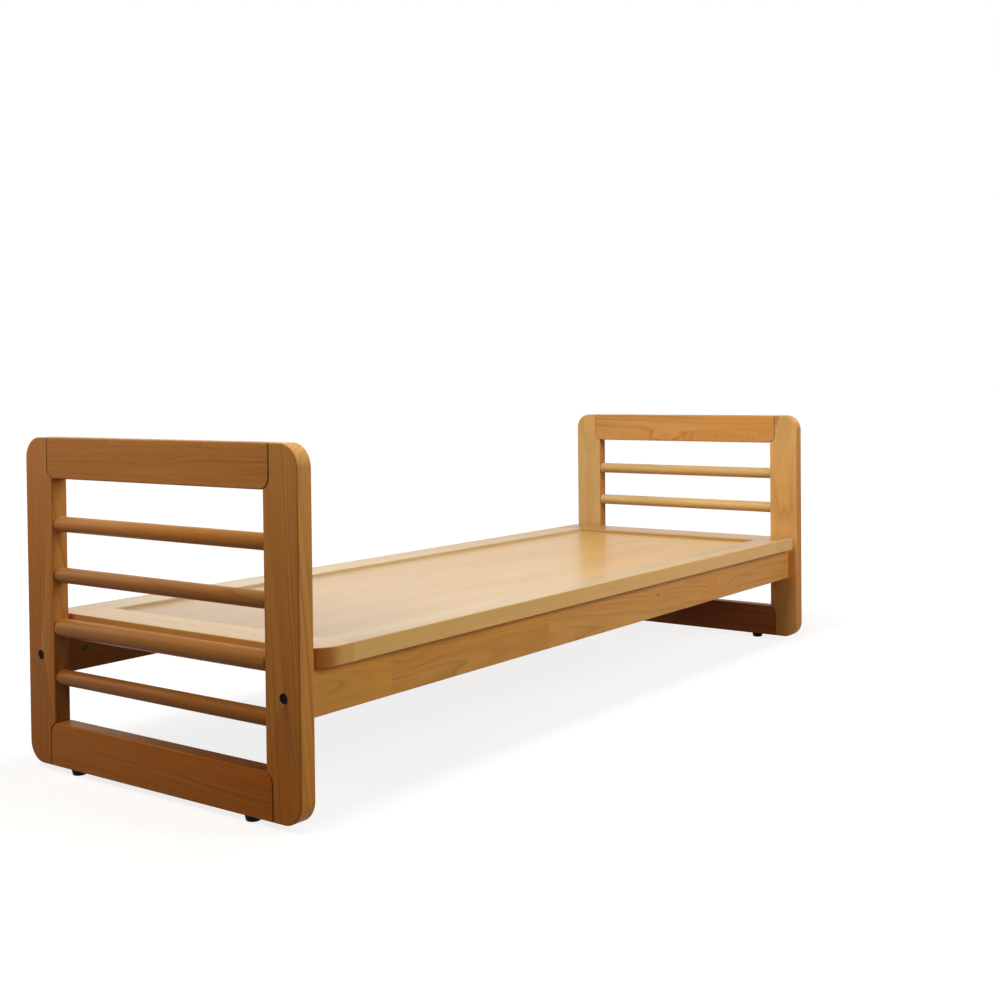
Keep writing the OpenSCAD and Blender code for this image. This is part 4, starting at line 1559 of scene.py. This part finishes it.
@dataclass
class Deck:
    """The lift-out deck: a plywood panel in a rim of four boards, with battens and locating blocks."""

    finishes: Finishes
    x0: float = -0.996
    x1: float = 0.989
    y0: float = -0.395
    y1: float = 0.395
    open_x0: float = -0.906
    open_x1: float = 0.883
    open_y0: float = -0.321
    open_y1: float = 0.303
    low_z: float = 0.282
    high_z: float = 0.319
    corner_r: float = 0.050
    arris: float = 0.0024
    joint_arris: float = 0.0007
    under_arris: float = 0.002
    panel_low: float = 0.299
    panel_high: float = 0.311
    groove: float = 0.010
    groove_end_gap: float = 0.0005
    gap: float = 0.0001
    batten_w: float = 0.060
    batten_pitch: float = 0.480
    batten_end_gap: float = 0.0003
    batten_screw_pitch: float = 0.200
    block_l: float = 0.200
    block_x: float = 0.600
    block_inner: float = 0.3142
    block_outer: float = 0.3442
    block_low: float = 0.262
    block_screw_x: float = 0.060
    block_screw_y: float = 0.3342
    head_r: float = 0.004
    head_h: float = 0.003
    shank_r: float = 0.002
    bore_l: float = 0.010

    @property
    def screw_bore(self) -> tuple[Pair, ...]:
        """The countersunk bore of a wood screw, as pairs of depth and radius."""
        shank = self.shank_r + self.gap
        return ((0.0, self.head_r + self.gap), (self.head_h, shank), (self.bore_l, shank))

    @staticmethod
    def end_cut(side: Side) -> Grain:
        """How a rim board at an end was cut."""
        return Grain(Axis.Y, (side.value * 0.9, 0.16), (0.02, 0.01), 1.7 * side.value)

    def rim(self, corners: list[Corner]) -> Surface:
        """A rim board of the given outline, with the groove for the panel."""
        groove = (self.panel_low, self.panel_high)
        return board(Outline(corners), self.low_z, self.high_z, Axis.Z, groove=groove)

    def end_rim(self, side: Side) -> Surface:
        """A rim board at an end of the deck; the left one has the two rounded corners.

        Args:
            side: The end.

        Returns:
            The board, grooved for the panel along its inner edge.
        """
        left = side is Side.LEFT
        inner, outer = (self.open_x0, self.x0) if left else (self.open_x1, self.x1)
        places = [self.y0, self.open_y0 - self.groove, self.open_y1 + self.groove, self.y1]
        first, start, stop, last = places if left else places[::-1]
        turn = {"turn": self.corner_r, "steps": 16} if left else {"turn": SOFT, "steps": 5}
        return self.rim([
            Corner(inner, first, arris=self.joint_arris),
            Corner(inner, start, turn=0, steps=2, arris=self.arris, groove=self.groove),
            Corner(inner, stop, turn=0, steps=2, arris=self.joint_arris),
            Corner(inner, last, arris=self.arris),
            Corner(outer, last, arris=self.arris, **turn),
            Corner(outer, first, arris=self.arris, **turn),
        ])

    def long_rim(self, depth: Depth) -> Surface:
        """The front or rear rim board, between the end ones.

        Args:
            depth: The side.

        Returns:
            The board, grooved for the panel along its inner edge.
        """
        front = depth is Depth.FRONT
        low, high = (self.y0, self.open_y0) if front else (self.open_y1, self.y1)
        return self.rim([
            Corner(self.open_x0, low, arris=self.arris, groove=0.0 if front else self.groove),
            Corner(self.open_x1, low, arris=self.joint_arris),
            Corner(self.open_x1, high, arris=self.arris, groove=self.groove if front else 0.0),
            Corner(self.open_x0, high, arris=self.joint_arris),
        ])

    def panel(self) -> Surface:
        """The plywood panel, which reaches into the rim's grooves."""
        reach = self.groove - self.groove_end_gap
        low, high = (self.open_x0 - reach, self.open_y0 - reach), (self.open_x1 + reach, self.open_y1 + reach)
        return board(oblong(low, high, 0.0005), self.panel_low + self.gap, self.panel_high - self.gap, Axis.Z)

    def batten(self, bay: int) -> Surface:
        """A cross batten with the bores of its three screws.

        Args:
            bay: Its place, counted from the deck's middle.

        Returns:
            The batten.
        """
        x = (self.x0 + self.x1) / 2 + bay * self.batten_pitch
        half, gap = self.batten_w / 2, self.batten_end_gap
        outline = oblong((x - half, self.open_y0 + gap), (x + half, self.open_y1 - gap), self.under_arris)
        places = (step * self.batten_screw_pitch for step in (-1, 0, 1))
        bores = tuple(Bore(x, y, self.screw_bore, far_face=True) for y in places)
        return board(outline, self.low_z, self.panel_low, Axis.Z, bores, sides=24)

    def block(self, x: float) -> Surface:
        """A front locating block, with the bores of its screws.

        Args:
            x: Its middle.

        Returns:
            The block.
        """
        half = self.block_l / 2
        outline = oblong((x - half, -self.block_outer), (x + half, -self.block_inner), self.under_arris)
        places = (x - self.block_screw_x, x + self.block_screw_x)
        bores = tuple(Bore(place, -self.block_screw_y, self.screw_bore, far_face=True) for place in places)
        return board(outline, self.block_low, self.low_z, Axis.Z, bores, sides=24)

    def build(self) -> None:
        """Makes and dresses every piece of the deck."""
        rim, plain = self.finishes.light_pine, self.finishes.plain
        for side in Side:
            wood = self.finishes.corner_shade_pine if side is Side.LEFT else rim
            name = f"{side.word}_rim"
            dress(f"{name}_board", self.end_rim(side), wood, self.end_cut(side), DECK, name)
        for depth in Depth:
            name = f"{depth.word}_rim"
            cut = Grain(Axis.X, (depth.value * 0.33, 0.12), (0.01, 0.006), 2.3 * depth.value)
            dress(f"{name}_board", self.long_rim(depth), rim, cut, DECK, name)
        sheet = Grain(Axis.X, (0.1, 0.0), (0.03, 0.11), 0.4)
        dress("deck_panel_sheet", self.panel(), self.finishes.birch, sheet, DECK, "deck_panel")
        for bay, word in ((-1, "left_batten"), (0, "middle_batten"), (1, "right_batten")):
            cut = Grain(Axis.Y, (bay * self.batten_pitch + 0.02, 0.22), (0.02, 0.03), 1.1 * bay)
            dress(f"{word}_board", self.batten(bay), plain, cut, DECK, word)
        front = self.block(-self.block_x).joined(self.block(self.block_x))
        for depth, surface in ((Depth.FRONT, front), (Depth.REAR, front.mirrored(Axis.Y))):
            cut = Grain(Axis.X, (depth.value * 0.30, 0.24), (0.01, 0.02), 4.1 * depth.value)
            name = f"{depth.word}_locating_blocks"
            dress(f"{name}_pair", surface, plain, cut, DECK, name)


@dataclass
class HiddenFittings:
    """The bolts, nuts, washers, screws and dowels, which keep their CAD shapes and get real finishes."""

    finishes: Finishes
    steel: tuple[str, ...] = ("corner_bolts", "bolt_washers", "glide_screws", "batten_screws", "block_screws")
    dark_steel: tuple[str, ...] = ("barrel_nuts",)
    dowels: tuple[str, ...] = ("left_frame_dowels", "right_frame_dowels", "side_rail_dowels", "rim_dowels")

    def build(self, nodes: dict[str, bpy.types.Object]) -> None:
        """Dresses the CAD nodes that show as they are.

        Args:
            nodes: The frame's nodes by name.
        """
        groups = (
            (self.steel, self.finishes.steel),
            (self.dark_steel, self.finishes.dark_steel),
            (self.dowels, self.finishes.plain),
        )
        for names, material in groups:
            for name in names:
                self.coat(nodes[name], material)

    def coat(self, node: bpy.types.Object, material: bpy.types.Material) -> None:
        """Puts one finish on all of a node's slots.

        Args:
            node: The CAD node.
            material: The finish.
        """
        for slot in node.material_slots:
            slot.material = material
        if not node.material_slots:
            node.data.materials.append(material)
        LOG.info("%s: finish %s", node.name, material.name)


def stand(item: bpy.types.Object, right: Array, up: Array, back: Array, place: Point) -> None:
    """Puts a lamp or camera into the scene.

    Args:
        item: The object.
        right: Where its X points.
        up: Where its Y points.
        back: Where its Z points; it looks the other way.
        place: Its place.
    """
    rows = [[right[k], up[k], back[k], place[k]] for k in range(3)]
    item.matrix_world = Matrix([*rows, [0.0, 0.0, 0.0, 1.0]])
    bpy.context.scene.collection.objects.link(item)


@dataclass(frozen=True)
class Softbox:
    """A square lamp.

    Attributes:
        name: Its name.
        place: Its middle.
        aim: The point that it faces.
        size: The length of its sides.
        power: Its power in watts.
        colour: Its colour.
    """

    name: str
    place: Point
    aim: Point
    size: float
    power: float
    colour: Colour

    def hang(self) -> None:
        """Makes the lamp; it shines down its own -Z, which is turned towards the point that it faces."""
        data = bpy.data.lights.new(self.name, "AREA")
        data.shape = "SQUARE"
        data.size = self.size
        data.energy = self.power
        data.color = self.colour
        back = np.array(self.place) - np.array(self.aim)
        back /= np.linalg.norm(back)
        right = np.cross([0.0, 1.0, 0.0], back)
        right /= np.linalg.norm(right)
        stand(bpy.data.objects.new(self.name, data), right, np.cross(back, right), back, self.place)


@dataclass
class Studio:
    """The camera, the pale floor, the lamps and the white surroundings."""

    image_w: float = 994.0
    image_h: float = 995.0
    focal_px: float = 1302.74
    centre_px: Pair = (563.98, 414.18)
    place: Point = (-2.63905, -2.06452, 0.78195)
    yaw: float = 34.623
    pitch: float = -1.205
    roll: float = -0.537
    view_end: float = 60.0
    sensor_w: float = 36.0
    floor_half: float = 9.0
    floor_cells: int = 6
    floor_shades: tuple[Colour, Colour] = ((0.30, 0.297, 0.293), (0.33, 0.327, 0.323))
    cloud_scale: Point = (3.0, 3.0, 3.0)
    # The floor's glow near the bed and far from it, how far that is, and how much each axis counts in it
    floor_glow: Pair = (0.82, 1.0)
    glow_reach: Pair = (1.0, 2.6)
    glow_shape: Point = (0.7, 1.0, 1.0)
    floor_dull: Colour = (0.18, 0.13, 0.09)
    # The world's light from low and from high directions, and how low and high those are
    sky: Pair = (0.02, 0.06)
    sky_rise: Pair = (-0.1, 0.9)
    sky_colour: Colour = (1.0, 0.95, 0.88)
    lamps: tuple[Softbox, ...] = (
        Softbox("far_light", (-0.2, -0.35, 2.3), (0.7, 0.0, 0.4), 0.8, 34.0, (0.92, 0.97, 1.0)),
        Softbox("left_fill", (-2.0, 0.1, 1.8), (-1.05, 0.0, 0.5), 0.9, 15.0, (1.0, 0.93, 0.82)),
        Softbox("front_fill", (0.6, -3.2, 1.8), (0.1, 0.0, 0.3), 1.5, 57.0, (1.0, 0.94, 0.80)),
        Softbox("rear_fill", (-1.6, 2.7, 1.5), (0.0, 0.4, 0.3), 1.4, 16.0, (1.0, 0.95, 0.88)),
        Softbox("right_fill", (3.0, -0.6, 1.4), (1.0, 0.0, 0.4), 1.0, 9.0, (1.0, 0.95, 0.88)),
    )

    def camera(self) -> None:
        """Sets up the camera of the photograph's view.

        The forward direction comes from the yaw and pitch, and the right and up directions are turned
        about it by the roll. The shift moves the optical centre to its place in the frame.
        """
        yaw, pitch, roll = (math.radians(v) for v in (self.yaw, self.pitch, self.roll))
        ahead = np.array([math.cos(pitch) * math.cos(yaw), math.cos(pitch) * math.sin(yaw), math.sin(pitch)])
        level = np.array([math.sin(yaw), -math.cos(yaw), 0.0])
        above = np.cross(level, ahead)
        right = math.cos(roll) * level + math.sin(roll) * above
        up = -math.sin(roll) * level + math.cos(roll) * above
        data = bpy.data.cameras.new("photo_camera")
        data.sensor_fit = "HORIZONTAL"
        data.sensor_width = self.sensor_w
        data.lens = self.focal_px / self.image_w * self.sensor_w
        data.shift_x = (self.image_w / 2 - self.centre_px[0]) / self.image_w
        data.shift_y = (self.centre_px[1] - self.image_h / 2) / self.image_w
        data.clip_end = self.view_end
        camera = bpy.data.objects.new("photo_camera", data)
        stand(camera, right, up, -ahead, self.place)
        bpy.context.scene.camera = camera

    def seen(self, bench: Bench) -> Socket:
        """1 for rays that see the studio by eye, in a mirror or through glass, and 0 for soft light."""
        path = bench.add("LightPath").outputs
        mirror = bench.math("MAXIMUM", path["Is Glossy Ray"], path["Is Transmission Ray"])
        return bench.math("MAXIMUM", path["Is Camera Ray"], mirror)

    def floor(self) -> None:
        """Lays the floor: white to the eye, with the bed's shadow, and duller for the light it gives back."""
        row = self.floor_cells + 1
        edge = np.linspace(-self.floor_half, self.floor_half, row)
        x, y = np.meshgrid(edge, edge, indexing="xy")
        points = np.column_stack([x.ravel(), y.ravel(), np.zeros(x.size)])
        cells = np.arange(self.floor_cells)
        corner = (cells[:, None] * row + cells[None]).ravel()
        faces = np.column_stack([corner, corner + 1, corner + row + 1, corner + row])
        mesh = bpy.data.meshes.new("studio_floor")
        mesh.from_pydata(points.tolist(), [], faces.tolist())
        bench = Bench(bpy.data.materials.new("studio_floor"))
        place = bench.object_place()
        away = bench.vector("LENGTH", bench.scaled(place, self.glow_shape))
        shade = bench.mix(bench.noise(place, self.cloud_scale, 3.0), *self.floor_shades)
        white = bench.add("BsdfDiffuse", {"Color": shade}).outputs[0]
        strength = bench.spread(away, *self.glow_reach, *self.floor_glow)
        glow = bench.add("Emission", {"Color": WHITE, "Strength": strength}).outputs[0]
        bright = bench.add("AddShader", {0: white, 1: glow}).outputs[0]
        dull = bench.add("BsdfDiffuse", {"Color": self.floor_dull}).outputs[0]
        mesh.materials.append(bench.end("MixShader", {0: self.seen(bench), 1: dull, 2: bright}))
        floor = bpy.data.objects.new("studio_floor", mesh)
        bpy.context.scene.collection.objects.link(floor)

    def world(self) -> None:
        """Surrounds the bed with soft light, and shows white to the eye."""
        world = bpy.data.worlds.new("studio_world")
        bpy.context.scene.world = world
        bench = Bench(world)
        up = bench.part(bench.add("TexCoord").outputs["Generated"], "Z")
        level = bench.spread(up, *self.sky_rise, *self.sky)
        soft = bench.add("Background", {"Color": self.sky_colour, "Strength": level}).outputs[0]
        white = bench.add("Background", {"Color": WHITE, "Strength": 1.0}).outputs[0]
        bench.end("MixShader", {0: self.seen(bench), 1: soft, 2: white})

    def build(self) -> None:
        """Sets up the whole studio."""
        self.camera()
        self.floor()
        self.world()
        for lamp in self.lamps:
            lamp.hang()
        bpy.context.scene.view_settings.view_transform = "Standard"


def main() -> None:
    """Builds the bed on its frame, piece by piece, and its studio."""
    logging.basicConfig(level=logging.INFO, format="%(name)s %(message)s")
    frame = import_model()
    finishes = Finishes()
    Studio().build()
    for side in Side:
        EndFrame(side, finishes).build()
    SideRails(finishes).build()
    Deck(finishes).build()
    HiddenFittings(finishes).build(frame["nodes"])


if __name__ == "__main__":
    main()
